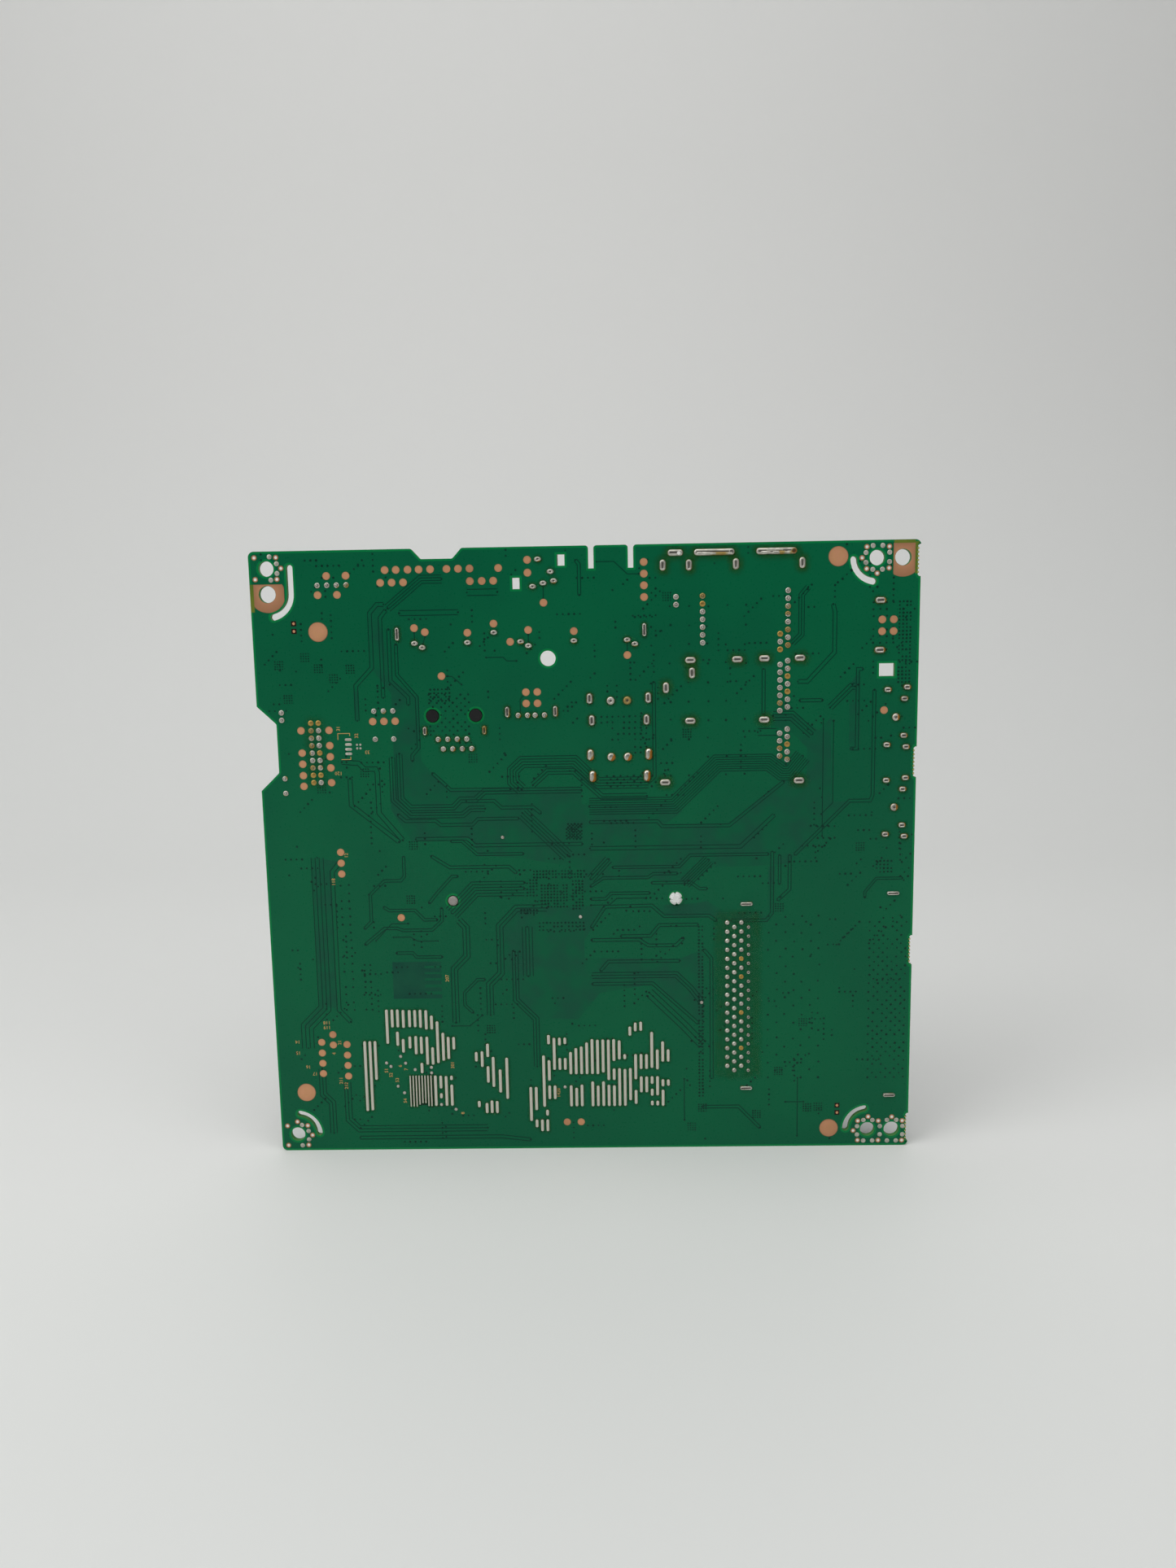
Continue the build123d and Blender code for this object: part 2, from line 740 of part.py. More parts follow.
# Solder joints of the ports at the right edge
port_ridge = ridge(video_side_tab_length, video_side_tab_width)
video_side_tabs = (
    (video_side_front_inset, video_side_front_span),
    (video_side_rear_inset, video_side_rear_span),
    (video_side_inner_inset, video_side_inner_span),
)
with BuildPart(solder_face) as solder_side_ports:
    with Locations((board_width - data_side_tab_inset, data_side_z)):
        with GridLocations(0, data_side_tab_span, 1, 2):
            add(level_ridge)
    for port in range(2):
        port_z = video_side_z - port * video_side_pitch
        for tab_inset, tab_span in video_side_tabs:
            with Locations((board_width - tab_inset, port_z)):
                with GridLocations(0, tab_span, 1, 2):
                    add(port_ridge)
        with Locations((board_width - video_side_peg_inset, port_z)):
            add(peg_cone)
save(solder_side_ports, "solder_side_ports")

# Solder joints of the card slot, four staggered columns and four cage feet
card_cone = cone(card_joint_radius)
foot_ridge = ridge(card_foot_length, card_foot_width)
with BuildPart(solder_face) as solder_card_slot:
    for column in range(card_columns):
        column_x = board_width - card_pin_inset + column * card_column_pitch
        step = card_stagger if column % 2 == 0 else -card_stagger
        with Locations((column_x, card_middle + step)):
            with GridLocations(0, card_row_pitch, 1, card_rows):
                add(card_cone)
    with Locations((board_width - card_front_foot_inset, card_middle)):
        with GridLocations(0, card_front_foot_span, 1, 2):
            add(foot_ridge)
    with Locations((board_width - card_rear_foot_inset, card_middle)):
        with GridLocations(0, card_rear_foot_span, 1, 2):
            add(foot_ridge)
save(solder_card_slot, "solder_card_slot")

# Tuner can: folded frame with one partition
with BuildPart() as tuner_frame:
    with BuildSketch(spot(tuner_middle_x, tuner_middle_z)):
        Rectangle(tuner_width, tuner_length)
        Rectangle(tuner_width - 2 * tuner_sheet, tuner_length - 2 * tuner_sheet, mode=Mode.SUBTRACT)
        with Locations((0, (tuner_partition_share - 1 / 2) * tuner_length)):
            Rectangle(tuner_width, tuner_sheet)
    extrude(amount=tuner_height)
save(tuner_frame, "tuner_frame")

# Tuner lid: a plate with a notched skirt round the frame and a hole for each aerial socket
lid_width = tuner_width + 2 * (tuner_lid_gap + tuner_sheet)
lid_length = tuner_length + 2 * (tuner_lid_gap + tuner_sheet)
with BuildPart() as tuner_lid:
    with BuildSketch(spot(tuner_middle_x, tuner_middle_z, tuner_height - tuner_skirt)):
        Rectangle(lid_width, lid_length)
    extrude(amount=tuner_skirt + tuner_sheet)
    with BuildSketch(spot(tuner_middle_x, tuner_middle_z, tuner_height - tuner_skirt)):
        Rectangle(lid_width - 2 * tuner_sheet, lid_length - 2 * tuner_sheet)
    extrude(amount=tuner_skirt, mode=Mode.SUBTRACT)
    with BuildSketch(spot(tuner_middle_x, tuner_middle_z, tuner_height - tuner_skirt)):
        with GridLocations(0, lid_length / tuner_skirt_notches, 1, tuner_skirt_notches):
            Rectangle(lid_width + overrun, tuner_skirt_notch)
    extrude(amount=tuner_skirt - tuner_sheet, mode=Mode.SUBTRACT)
    with BuildSketch(spot(tuner_middle_x, rf_z, tuner_height)):
        for share in tuner_lug_shares:
            with Locations(((1 / 2 - share) * tuner_width, 0)):
                Circle(rf_body_radius + rf_lid_gap)
    extrude(amount=tuner_sheet, mode=Mode.SUBTRACT)
save(tuner_lid, "tuner_lid")

# Tuner's inner board on its two upper pin columns
inner_top = tuner_z + tuner_length - tuner_sheet - tuner_board_gap
inner_low = tuner_z + tuner_partition_share * tuner_length + tuner_sheet + tuner_board_gap
inner_width = tuner_width - 2 * (tuner_sheet + tuner_board_gap)
with BuildPart() as tuner_inner_board:
    with BuildSketch(spot(tuner_middle_x, (inner_top + inner_low) / 2, tuner_board_lift)):
        Rectangle(inner_width, inner_top - inner_low)
    extrude(amount=tuner_board_thickness)
    with BuildSketch(spot(tuner_middle_x, tuner_z)):
        for share_x, share_z, count in tuner_pin_shares[:2]:
            steps = [share_z * tuner_length - row * tuner_pitch for row in range(count)]
            seated = [step for step in steps if tuner_z + step > inner_low + pin_side]
            with Locations([((1 / 2 - share_x) * tuner_width, step) for step in seated]):
                Rectangle(pin_side, pin_side)
    extrude(amount=tuner_board_lift)
save(tuner_inner_board, "tuner_inner_board")

# Aerial sockets, standing on the inner board and rising through the lid
antenna_x = tuner_x + tuner_lug_shares[0] * tuner_width
satellite_x = tuner_x + tuner_lug_shares[1] * tuner_width
rf_floor = rf_base + rf_body_height + rf_barrel_height - rf_bore_depth
with BuildPart() as antenna_socket:
    with BuildSketch(spot(antenna_x, rf_z, rf_base)):
        Circle(rf_body_radius)
    extrude(amount=rf_body_height)
    with BuildSketch(spot(antenna_x, rf_z, rf_base + rf_body_height)):
        Circle(antenna_barrel_radius)
    extrude(amount=rf_barrel_height)
    with BuildSketch(spot(antenna_x, rf_z, rf_floor)):
        Circle(antenna_bore_radius)
    extrude(amount=rf_bore_depth, mode=Mode.SUBTRACT)
save(antenna_socket, "antenna_socket")

with BuildPart() as satellite_socket:
    with BuildSketch(spot(satellite_x, rf_z, rf_base)):
        Circle(rf_body_radius)
    extrude(amount=rf_body_height)
    with BuildSketch(spot(satellite_x, rf_z, rf_base + rf_body_height)):
        Circle(satellite_barrel_radius)
    extrude(amount=rf_barrel_height)
    with BuildSketch(spot(satellite_x, rf_z, rf_floor)):
        Circle(satellite_bore_radius)
    extrude(amount=rf_bore_depth, mode=Mode.SUBTRACT)
save(satellite_socket, "satellite_socket")

with BuildPart() as rf_insulators:
    with BuildSketch(spot(antenna_x, rf_z, rf_floor)):
        Circle(antenna_post_radius)
        Circle(antenna_contact_radius, mode=Mode.SUBTRACT)
    extrude(amount=rf_bore_depth - rf_post_drop)
    with BuildSketch(spot(satellite_x, rf_z, rf_floor)):
        Circle(satellite_bore_radius - rf_insulator_gap)
        Circle(satellite_contact_radius, mode=Mode.SUBTRACT)
    extrude(amount=rf_bore_depth - rf_post_drop)
save(rf_insulators, "rf_insulators")

# Audio-video strip: moulded base, five metal shells and their colour inserts
av_axis_z = av_z + av_axis_step
av_first_x = av_x - (av_count - 1) / 2 * av_pitch
with BuildPart() as av_housing:
    with BuildSketch(spot(av_x, av_axis_z)):
        RectangleRounded(av_housing_width, av_housing_depth, corner_radius)
    extrude(amount=av_housing_height)
    chamfer(av_housing.faces().sort_by(Axis.Y)[-1].edges(), av_shell_wall)
save(av_housing, "av_housing")

with BuildPart() as av_shells:
    with BuildSketch(spot(av_x, av_axis_z, av_housing_height)):
        with GridLocations(av_pitch, 0, av_count, 1):
            Circle(av_shell_radius)
            Circle(av_shell_radius - av_shell_wall, mode=Mode.SUBTRACT)
    extrude(amount=av_shell_height)
save(av_shells, "av_shells")

av_insert_places = {
    "av_insert_green": (0,),
    "av_insert_blue": (1,),
    "av_inserts_red": (2, 4),
    "av_insert_white": (3,),
}
for insert_name, jacks in av_insert_places.items():
    with BuildPart() as av_insert:
        for jack in jacks:
            with BuildSketch(spot(av_first_x + jack * av_pitch, av_axis_z, av_housing_height)):
                Circle(av_shell_radius - av_shell_wall - av_insert_gap)
                Circle(av_bore_radius, mode=Mode.SUBTRACT)
            extrude(amount=av_shell_height - av_insert_drop)
    save(av_insert, insert_name)

# Phone jack: chamfered body with a plated bush round its bore
with BuildPart() as phone_jack_body:
    with BuildSketch(spot(phone_x, phone_z)) as phone_plan:
        Rectangle(phone_body, phone_body)
        chamfer(phone_plan.vertices(), phone_body_chamfer)
    extrude(amount=phone_body_height)
    with BuildSketch(spot(phone_x, phone_z, phone_body_height - phone_bore_depth)):
        Circle(phone_bore_radius)
    extrude(amount=phone_bore_depth, mode=Mode.SUBTRACT)
save(phone_jack_body, "phone_jack_body")

with BuildPart() as phone_jack_bush:
    with BuildSketch(spot(phone_x, phone_z, phone_body_height)):
        Circle(phone_bush_radius)
        Circle(phone_bore_radius, mode=Mode.SUBTRACT)
    extrude(amount=phone_bush_height)
save(phone_jack_bush, "phone_jack_bush")

# Optical jack: block with a keyed square mouth, and the emitter at the mouth's floor
optical_middle_z = optical_z - optical_peg_step / 2
with BuildPart() as optical_jack_body:
    with BuildSketch(spot(optical_x, optical_middle_z)):
        Rectangle(optical_width, optical_depth)
    extrude(amount=optical_height)
    chamfer(optical_jack_body.faces().sort_by(Axis.Y)[-1].edges(), optical_edge)
    mouth_floor = spot(optical_x, optical_middle_z, optical_height - optical_mouth_depth)
    with BuildSketch(mouth_floor) as keyed_mouth:
        Rectangle(optical_mouth, optical_mouth)
        chamfer(keyed_mouth.vertices().group_by(Axis.Y)[-1], optical_mouth_chamfer)
    extrude(amount=optical_mouth_depth, mode=Mode.SUBTRACT)
save(optical_jack_body, "optical_jack_body")

with BuildPart() as optical_jack_emitter:
    with BuildSketch(spot(optical_x, optical_middle_z, optical_height - optical_mouth_depth)):
        Circle(emitter_radius)
    extrude(amount=emitter_height)
save(optical_jack_emitter, "optical_jack_emitter")

# Network jack: steel shield, housing with the plug's cavity, and eight spring contacts
with BuildPart() as lan_shield:
    with BuildSketch(spot(lan_x, lan_z)):
        Rectangle(lan_width, lan_depth)
        Rectangle(lan_width - 2 * lan_sheet, lan_depth - 2 * lan_sheet, mode=Mode.SUBTRACT)
    extrude(amount=lan_height)
    with BuildSketch(spot(lan_x, lan_z, lan_height - lan_spring_length - lan_sheet)):
        Rectangle(lan_width + overrun, lan_spring_width)
    extrude(amount=lan_spring_length, mode=Mode.SUBTRACT)
save(lan_shield, "lan_shield")

lan_floor = lan_height - lan_lip - lan_cavity_depth
with BuildPart() as lan_housing:
    with BuildSketch(spot(lan_x, lan_z)):
        Rectangle(lan_width - 2 * lan_sheet, lan_depth - 2 * lan_sheet)
    extrude(amount=lan_height - lan_lip)
    with BuildSketch(spot(lan_x, lan_z, lan_floor)):
        Rectangle(lan_mouth_width, lan_mouth_depth)
        with Locations((0, (lan_mouth_depth + lan_latch_depth) / 2)):
            Rectangle(lan_latch_width, lan_latch_depth)
    extrude(amount=lan_cavity_depth, mode=Mode.SUBTRACT)
    with BuildSketch(spot(lan_x, lan_z + lan_peg_step)):
        with GridLocations(lan_peg_span, 0, 2, 1):
            Circle(lan_peg_radius)
    extrude(amount=-lan_peg_length)
save(lan_housing, "lan_housing")

with BuildPart() as lan_contacts:
    for wire in range(lan_contact_count):
        wire_x = (wire - (lan_contact_count - 1) / 2) * lan_contact_pitch - lan_contact_width / 2
        origin = (
            board_left + lan_x + wire_x,
            board_thickness + lan_floor,
            board_bottom + lan_z - lan_mouth_depth / 2,
        )
        with BuildSketch(Plane(origin=origin, x_dir=(0, 1, 0), z_dir=(1, 0, 0))):
            with BuildLine():
                Polyline(
                    (0, 0),
                    (lan_contact_height, lan_contact_lean),
                    (lan_contact_height, lan_contact_lean + lan_contact_thickness),
                    (0, lan_contact_thickness),
                    close=True,
                )
            make_face()
        extrude(amount=lan_contact_width)
save(lan_contacts, "lan_contacts")


def data_shell(base):
    """Rolled steel mouth of a data socket, with two spring windows in each broad face."""
    with BuildPart() as shell:
        with BuildSketch(base):
            RectangleRounded(data_width, data_height, data_corner)
            Rectangle(data_width - 2 * data_wall, data_height - 2 * data_wall, mode=Mode.SUBTRACT)
        extrude(amount=data_depth)
        with BuildSketch(base.offset(data_depth - data_window_length - data_floor)):
            with GridLocations(data_window_span, 0, 2, 1):
                Rectangle(data_window_width, data_height + overrun)
        extrude(amount=data_window_length, mode=Mode.SUBTRACT)
    return shell


def data_tongue(base):
    """Moulded floor of a data socket and the tongue that carries its contacts."""
    inner_gap = data_wall + data_tongue_gap
    with BuildPart() as tongue:
        with BuildSketch(base):
            Rectangle(data_width - 2 * inner_gap, data_height - 2 * inner_gap)
        extrude(amount=data_floor)
        with BuildSketch(base.offset(data_floor)):
            with Locations((0, data_tongue_shift)):
                Rectangle(data_tongue_width, data_tongue_thickness)
        extrude(amount=data_tongue_length)
    return tongue


def video_corners(inset):
    """Corners of a video mouth, broad along one side and tapered along the other."""
    half_width = video_width / 2 - inset
    half_height = video_height / 2 - inset
    shoulder = video_shoulder - video_height / 2
    return (
        (-half_width, half_height),
        (half_width, half_height),
        (half_width, shoulder),
        (half_width - video_taper, -half_height),
        (-half_width + video_taper, -half_height),
        (-half_width, shoulder),
    )


def video_shell(base):
    """Folded steel mouth of a video socket, with two spring windows in its broad face."""
    with BuildPart() as shell:
        with BuildSketch(base):
            with BuildLine():
                Polyline(*video_corners(0), close=True)
            make_face()
            with BuildLine():
                Polyline(*video_corners(video_wall), close=True)
            make_face(mode=Mode.SUBTRACT)
        extrude(amount=video_depth)
        with BuildSketch(base.offset(video_depth - video_spring_length - video_floor)):
            with Locations((0, video_height / 2)):
                with GridLocations(video_spring_span, 0, 2, 1):
                    Rectangle(video_spring_width, video_height / 2)
        extrude(amount=video_spring_length, mode=Mode.SUBTRACT)
    return shell


def video_tongue(base):
    """Moulded floor of a video socket and the tongue that carries its contacts."""
    with BuildPart() as tongue:
        with BuildSketch(base):
            with BuildLine():
                Polyline(*video_corners(video_wall + video_tongue_gap), close=True)
            make_face()
        extrude(amount=video_floor)
        with BuildSketch(base.offset(video_floor)):
            with Locations((0, video_tongue_thickness / 2)):
                Rectangle(video_tongue_width, video_tongue_thickness)
        extrude(amount=video_tongue_length)
    return tongue


# Data sockets, one upright on the board and one flat at the right edge
data_bases = {
    "data_rear": spot(data_rear_x, data_rear_z),
    "data_side": side_port(data_side_z, data_depth, data_height / 2),
}
for port_name, base in data_bases.items():
    save(data_shell(base), port_name + "_shell")
    save(data_tongue(base), port_name + "_tongue")

# Video sockets, two upright on the board and two flat at the right edge
video_bases = {
    "video_rear_upper": spot(video_rear_x, video_rear_z),
    "video_rear_lower": spot(video_rear_x, video_rear_z - video_rear_pitch),
    "video_side_upper": side_port(video_side_z, video_depth, video_height / 2),
    "video_side_lower": side_port(video_side_z - video_side_pitch, video_depth, video_height / 2),
}
for port_name, base in video_bases.items():
    save(video_shell(base), port_name + "_shell")
    save(video_tongue(base), port_name + "_tongue")

# Card slot cage: folded steel, open at both ends, with windows in its top
cage_base = side_face(board_width - card_cage_inset - card_cage_length, card_middle)
with BuildPart() as card_slot_cage:
    with BuildSketch(cage_base):
        with Locations((0, card_cage_height / 2)):
            Rectangle(card_cage_width, card_cage_height)
        with Locations((0, (card_cage_height - card_sheet) / 2)):
            Rectangle(card_cage_width - 2 * card_sheet, card_cage_height - card_sheet, mode=Mode.SUBTRACT)
    extrude(amount=card_cage_length)
    window_middle_x = board_width - card_cage_inset - card_cage_length / 2
    with BuildSketch(spot(window_middle_x, card_middle, card_cage_height - card_sheet)):
        with GridLocations(0, card_cage_width / card_cage_windows, 1, card_cage_windows):
            Rectangle(card_cage_window_width, card_cage_window_length)
    extrude(amount=card_sheet, mode=Mode.SUBTRACT)
save(card_slot_cage, "card_slot_cage")

# Card slot header: pin block with two grooved guide arms inside the cage
arm_outer = card_cage_width / 2 - card_sheet - card_arm_gap
arm_inner = arm_outer - card_arm_thickness
block_face = side_face(card_header_x + card_header_depth / 2, card_middle)
arm_length = card_cage_length - card_header_lap
with BuildPart() as card_slot_header:
    with BuildSketch(spot(card_header_x - card_header_lap / 2, card_middle)):
        Rectangle(card_header_depth - card_header_lap, card_header_width)
    extrude(amount=card_header_height)
    with BuildSketch(block_face):
        for hand in (-1, 1):
            with Locations((hand * (arm_outer + arm_inner) / 2, card_arm_height / 2)):
                Rectangle(card_arm_thickness, card_arm_height)
            with Locations((hand * (arm_inner - card_rail_reach / 2), card_rail_height / 2)):
                Rectangle(card_rail_reach, card_rail_height)
            upper_rail = card_arm_height - card_rail_height - card_rail_groove
            with Locations((hand * (arm_inner - card_rail_reach / 2), card_arm_height - upper_rail / 2)):
                Rectangle(card_rail_reach, upper_rail)
    extrude(amount=arm_length)
    with BuildSketch(block_face):
        with Locations((0, card_arm_height / 2)):
            Rectangle(2 * arm_outer, card_arm_height)
    extrude(amount=-card_header_lap)
save(card_slot_header, "card_slot_header")

with BuildPart() as card_slot_pins:
    with BuildSketch(block_face):
        with Locations((0, card_pin_lift)):
            with GridLocations(card_pin_pitch, card_pin_pitch, card_pin_count, card_pin_rows):
                Rectangle(card_pin_side, card_pin_side)
    extrude(amount=card_pin_length)
save(card_slot_pins, "card_slot_pins")


def shroud(x, z, width, depth, height, key_plane, key_width, key_depth):
    """Open-topped header housing with a keyway through one wall."""
    with BuildPart() as housing:
        with BuildSketch(spot(x, z)):
            Rectangle(width, depth)
        extrude(amount=height)
        with BuildSketch(spot(x, z, shroud_floor)):
            Rectangle(width - 2 * shroud_wall, depth - 2 * shroud_wall)
        extrude(amount=height - shroud_floor, mode=Mode.SUBTRACT)
        with BuildSketch(key_plane):
            Rectangle(key_width, key_depth)
        extrude(amount=height - shroud_floor, mode=Mode.SUBTRACT)
    return housing


# Power header by the left notch
power_width = power_pitch * (power_columns - 1) + 2 * power_margin
power_length = power_pitch * (power_rows - 1) + 2 * power_margin
power_key = spot(power_x - power_width / 2, power_z, shroud_floor)
power_header_shroud = shroud(
    power_x, power_z, power_width, power_length, power_height,
    power_key, 2 * shroud_wall, shroud_key_width,
)
save(power_header_shroud, "power_header_shroud")

with BuildPart() as power_header_pins:
    with BuildSketch(spot(power_x, power_z, shroud_floor)):
        with GridLocations(power_pitch, power_pitch, power_columns, power_rows):
            Rectangle(pin_side, pin_side)
    extrude(amount=power_pin_height)
save(power_header_pins, "power_header_pins")

# Speaker header near the top edge
speaker_width = speaker_pitch * (speaker_pins - 1) + 2 * speaker_margin
speaker_depth = 2 * speaker_margin
speaker_key = spot(speaker_x, speaker_z - speaker_depth / 2, shroud_floor)
speaker_header_shroud = shroud(
    speaker_x, speaker_z, speaker_width, speaker_depth, speaker_height,
    speaker_key, shroud_key_width, 2 * shroud_wall,
)
save(speaker_header_shroud, "speaker_header_shroud")

with BuildPart() as speaker_header_pins:
    with BuildSketch(spot(speaker_x, speaker_z, shroud_floor)):
        with GridLocations(speaker_pitch, 0, speaker_pins, 1):
            Rectangle(pin_side, pin_side)
    extrude(amount=speaker_pin_height)
save(speaker_header_pins, "speaker_header_pins")

# Processor with its metal cap, and the pad between cap and heat sink
with BuildPart() as processor:
    with BuildSketch(spot(processor_x, processor_z)):
        Rectangle(processor_side, processor_side)
    extrude(amount=processor_height)
    with BuildSketch(spot(processor_x, processor_z, processor_height)):
        Rectangle(processor_cap_side, processor_cap_side)
    extrude(amount=processor_cap_height)
save(processor, "processor")

with BuildPart() as thermal_pad:
    with BuildSketch(spot(processor_x, processor_z, processor_height + processor_cap_height)):
        Rectangle(pad_side, pad_side)
    extrude(amount=pad_thickness)
save(thermal_pad, "thermal_pad")

# Heat sink: extruded fins on a base with an ear at each end
fin_pitch = (sink_depth - sink_fin_thickness) / (sink_fins - 1)
with BuildPart() as heat_sink:
    with BuildSketch(spot(sink_x, sink_z, sink_lift)):
        Rectangle(sink_width, sink_depth)
        SlotCenterToCenter(pin_span, 2 * sink_ear_radius)
        with GridLocations(pin_span, 0, 2, 1):
            Circle(pin_hole_radius, mode=Mode.SUBTRACT)
    extrude(amount=sink_base)
    with BuildSketch(spot(sink_x, sink_z, sink_lift + sink_base)):
        with GridLocations(0, fin_pitch, 1, sink_fins):
            Rectangle(sink_width, sink_fin_thickness)
    extrude(amount=sink_fin_height)
save(heat_sink, "heat_sink")

# Push pins: a head on the heat sink's ear, a shaft through the board and a tip on the solder side
pin_seat = board_thickness + sink_lift + sink_base
pin_ends = {
    "push_pin_left": (-1, ((pin_left_tip_radius, -pin_left_rise), (pin_shaft_radius, 0))),
    "push_pin_right": (
        1,
        (
            (pin_barb_tip_radius, -pin_barb_height),
            (pin_barb_radius, -pin_barb_height / 2),
            (pin_barb_radius, 0),
            (pin_shaft_radius, 0),
        ),
    ),
}
for pin_name, (hand, tip) in pin_ends.items():
    axis_place = (board_left + sink_x + hand * pin_span / 2, 0, board_bottom + sink_z)
    pin_plane = Plane(origin=axis_place, x_dir=(1, 0, 0), z_dir=(0, 0, 1))
    with BuildPart() as push_pin:
        with BuildSketch(pin_plane):
            with BuildLine():
                Polyline(
                    (0, tip[0][1]),
                    *tip,
                    (pin_shaft_radius, pin_seat),
                    (pin_head_radius, pin_seat),
                    (pin_head_radius, pin_seat + pin_head_height),
                    (0, pin_seat + pin_head_height),
                    close=True,
                )
            make_face()
        revolve(axis=Axis(axis_place, (0, 1, 0)))
    save(push_pin, pin_name)

# Memory and flash chips
with BuildPart() as memory_chips:
    for share in memory_x_shares:
        with BuildSketch(spot(share * board_width, memory_z)):
            Rectangle(memory_width, memory_length)
        extrude(amount=memory_height)
    with BuildSketch(spot(flash_x, flash_z)):
        Rectangle(flash_width, flash_length)
    extrude(amount=memory_height)
    chamfer(memory_chips.faces().group_by(Axis.Y)[-1].edges(), chip_edge)
save(memory_chips, "memory_chips")

# Power regulators and the audio amplifier
with BuildPart() as regulator_chips:
    for place_x, place_z in power_places(regulator_low_shares, regulator_high_shares):
        with BuildSketch(spot(place_x, place_z)):
            Rectangle(regulator_side, regulator_side)
        extrude(amount=regulator_height)
    chamfer(regulator_chips.faces().group_by(Axis.Y)[-1].edges(), chip_edge)
save(regulator_chips, "regulator_chips")

# Moulded power coils with cut corners
with BuildPart() as power_coils:
    for place_x, place_z in power_places(coil_low_shares, coil_high_shares):
        with BuildSketch(spot(place_x, place_z)) as coil_plan:
            Rectangle(coil_side, coil_side)
            chamfer(coil_plan.vertices(), coil_corner)
        extrude(amount=coil_height)
save(power_coils, "power_coils")

# Panel connectors at the lower edge: slotted housings under thin steel shields
with BuildPart() as panel_connector_housings:
    for share in panel_x_shares:
        with BuildSketch(spot(share * board_width, panel_z)):
            Rectangle(panel_width, panel_depth)
        extrude(amount=panel_height)
        slot_base = (panel_height - panel_slot_height) / 2
        with BuildSketch(spot(share * board_width, panel_z - panel_depth / 2, slot_base)):
            Rectangle(panel_slot_width, 2 * panel_slot_depth)
        extrude(amount=panel_slot_height, mode=Mode.SUBTRACT)
save(panel_connector_housings, "panel_connector_housings")

with BuildPart() as panel_connector_shields:
    for share in panel_x_shares:
        with BuildSketch(spot(share * board_width, panel_z, panel_height)):
            Rectangle(panel_shield_width, panel_depth)
        extrude(amount=panel_sheet)
        lip_z = panel_z + (panel_depth + panel_sheet) / 2
        with BuildSketch(spot(share * board_width, lip_z, panel_height - panel_shield_lip)):
            Rectangle(panel_shield_width, panel_sheet)
        extrude(amount=panel_shield_lip + panel_sheet)
save(panel_connector_shields, "panel_connector_shields")
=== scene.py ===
"""A bare TV main board on its lower edge, solder side to the camera."""

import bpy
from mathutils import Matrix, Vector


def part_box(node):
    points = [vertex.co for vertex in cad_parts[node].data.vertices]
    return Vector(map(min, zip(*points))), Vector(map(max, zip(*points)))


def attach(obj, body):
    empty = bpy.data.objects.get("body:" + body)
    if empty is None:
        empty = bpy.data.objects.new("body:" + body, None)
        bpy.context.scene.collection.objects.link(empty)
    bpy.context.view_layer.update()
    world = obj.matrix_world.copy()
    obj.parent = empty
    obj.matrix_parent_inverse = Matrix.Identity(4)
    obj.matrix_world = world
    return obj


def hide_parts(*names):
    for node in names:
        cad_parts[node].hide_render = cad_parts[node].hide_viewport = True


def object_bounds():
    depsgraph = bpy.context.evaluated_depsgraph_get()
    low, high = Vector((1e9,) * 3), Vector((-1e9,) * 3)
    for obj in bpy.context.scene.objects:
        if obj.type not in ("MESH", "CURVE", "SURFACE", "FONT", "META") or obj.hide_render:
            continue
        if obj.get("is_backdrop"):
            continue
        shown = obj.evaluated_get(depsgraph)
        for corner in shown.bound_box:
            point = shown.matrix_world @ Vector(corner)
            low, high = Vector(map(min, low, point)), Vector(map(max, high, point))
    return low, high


bl_info = {
    "name": "TV main board finishes",
    "version": (1, 0, 0),
    "blender": (4, 5, 0),
    "location": "View3D > Sidebar > Main board",
    "description": "Solder, copper, tracks and connector finishes for a bare main board",
    "category": "Object",
}

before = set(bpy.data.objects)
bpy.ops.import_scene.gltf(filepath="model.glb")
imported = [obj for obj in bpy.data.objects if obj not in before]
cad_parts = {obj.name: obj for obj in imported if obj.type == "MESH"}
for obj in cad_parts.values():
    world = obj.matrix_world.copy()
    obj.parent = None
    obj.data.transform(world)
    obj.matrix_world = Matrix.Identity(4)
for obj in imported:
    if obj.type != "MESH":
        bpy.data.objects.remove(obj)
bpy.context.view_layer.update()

import math
import random

import bmesh
import bpy
from bpy.props import FloatProperty, FloatVectorProperty, IntProperty, PointerProperty
from mathutils import Matrix, Vector
from mathutils.bvhtree import BVHTree

MM = 0.001
MERGE = 1e-7
# Flat pieces that cross lie this far apart, because coincident faces show black
LEVEL_STEP = 0.0001 * MM
board_low, board_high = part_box("circuit_board")
board_width = (board_high.x - board_low.x) / MM
board_height = (board_high.z - board_low.z) / MM
board_thickness = (board_high.y - board_low.y) / MM

# The solder face laid flat: x to the right, y up the board, z towards the viewer
SOLDER_FACE = Matrix((
    (1, 0, 0, board_low.x), (0, 0, -1, board_low.y), (0, 1, 0, board_low.z), (0, 0, 0, 1),
))
# The component face laid flat, seen from behind the board
COMPONENT_FACE = Matrix((
    (-1, 0, 0, board_high.x), (0, 0, 1, board_high.y), (0, 1, 0, board_low.z), (0, 0, 0, 1),
))

# Places on the solder face in millimetres from the lower left corner

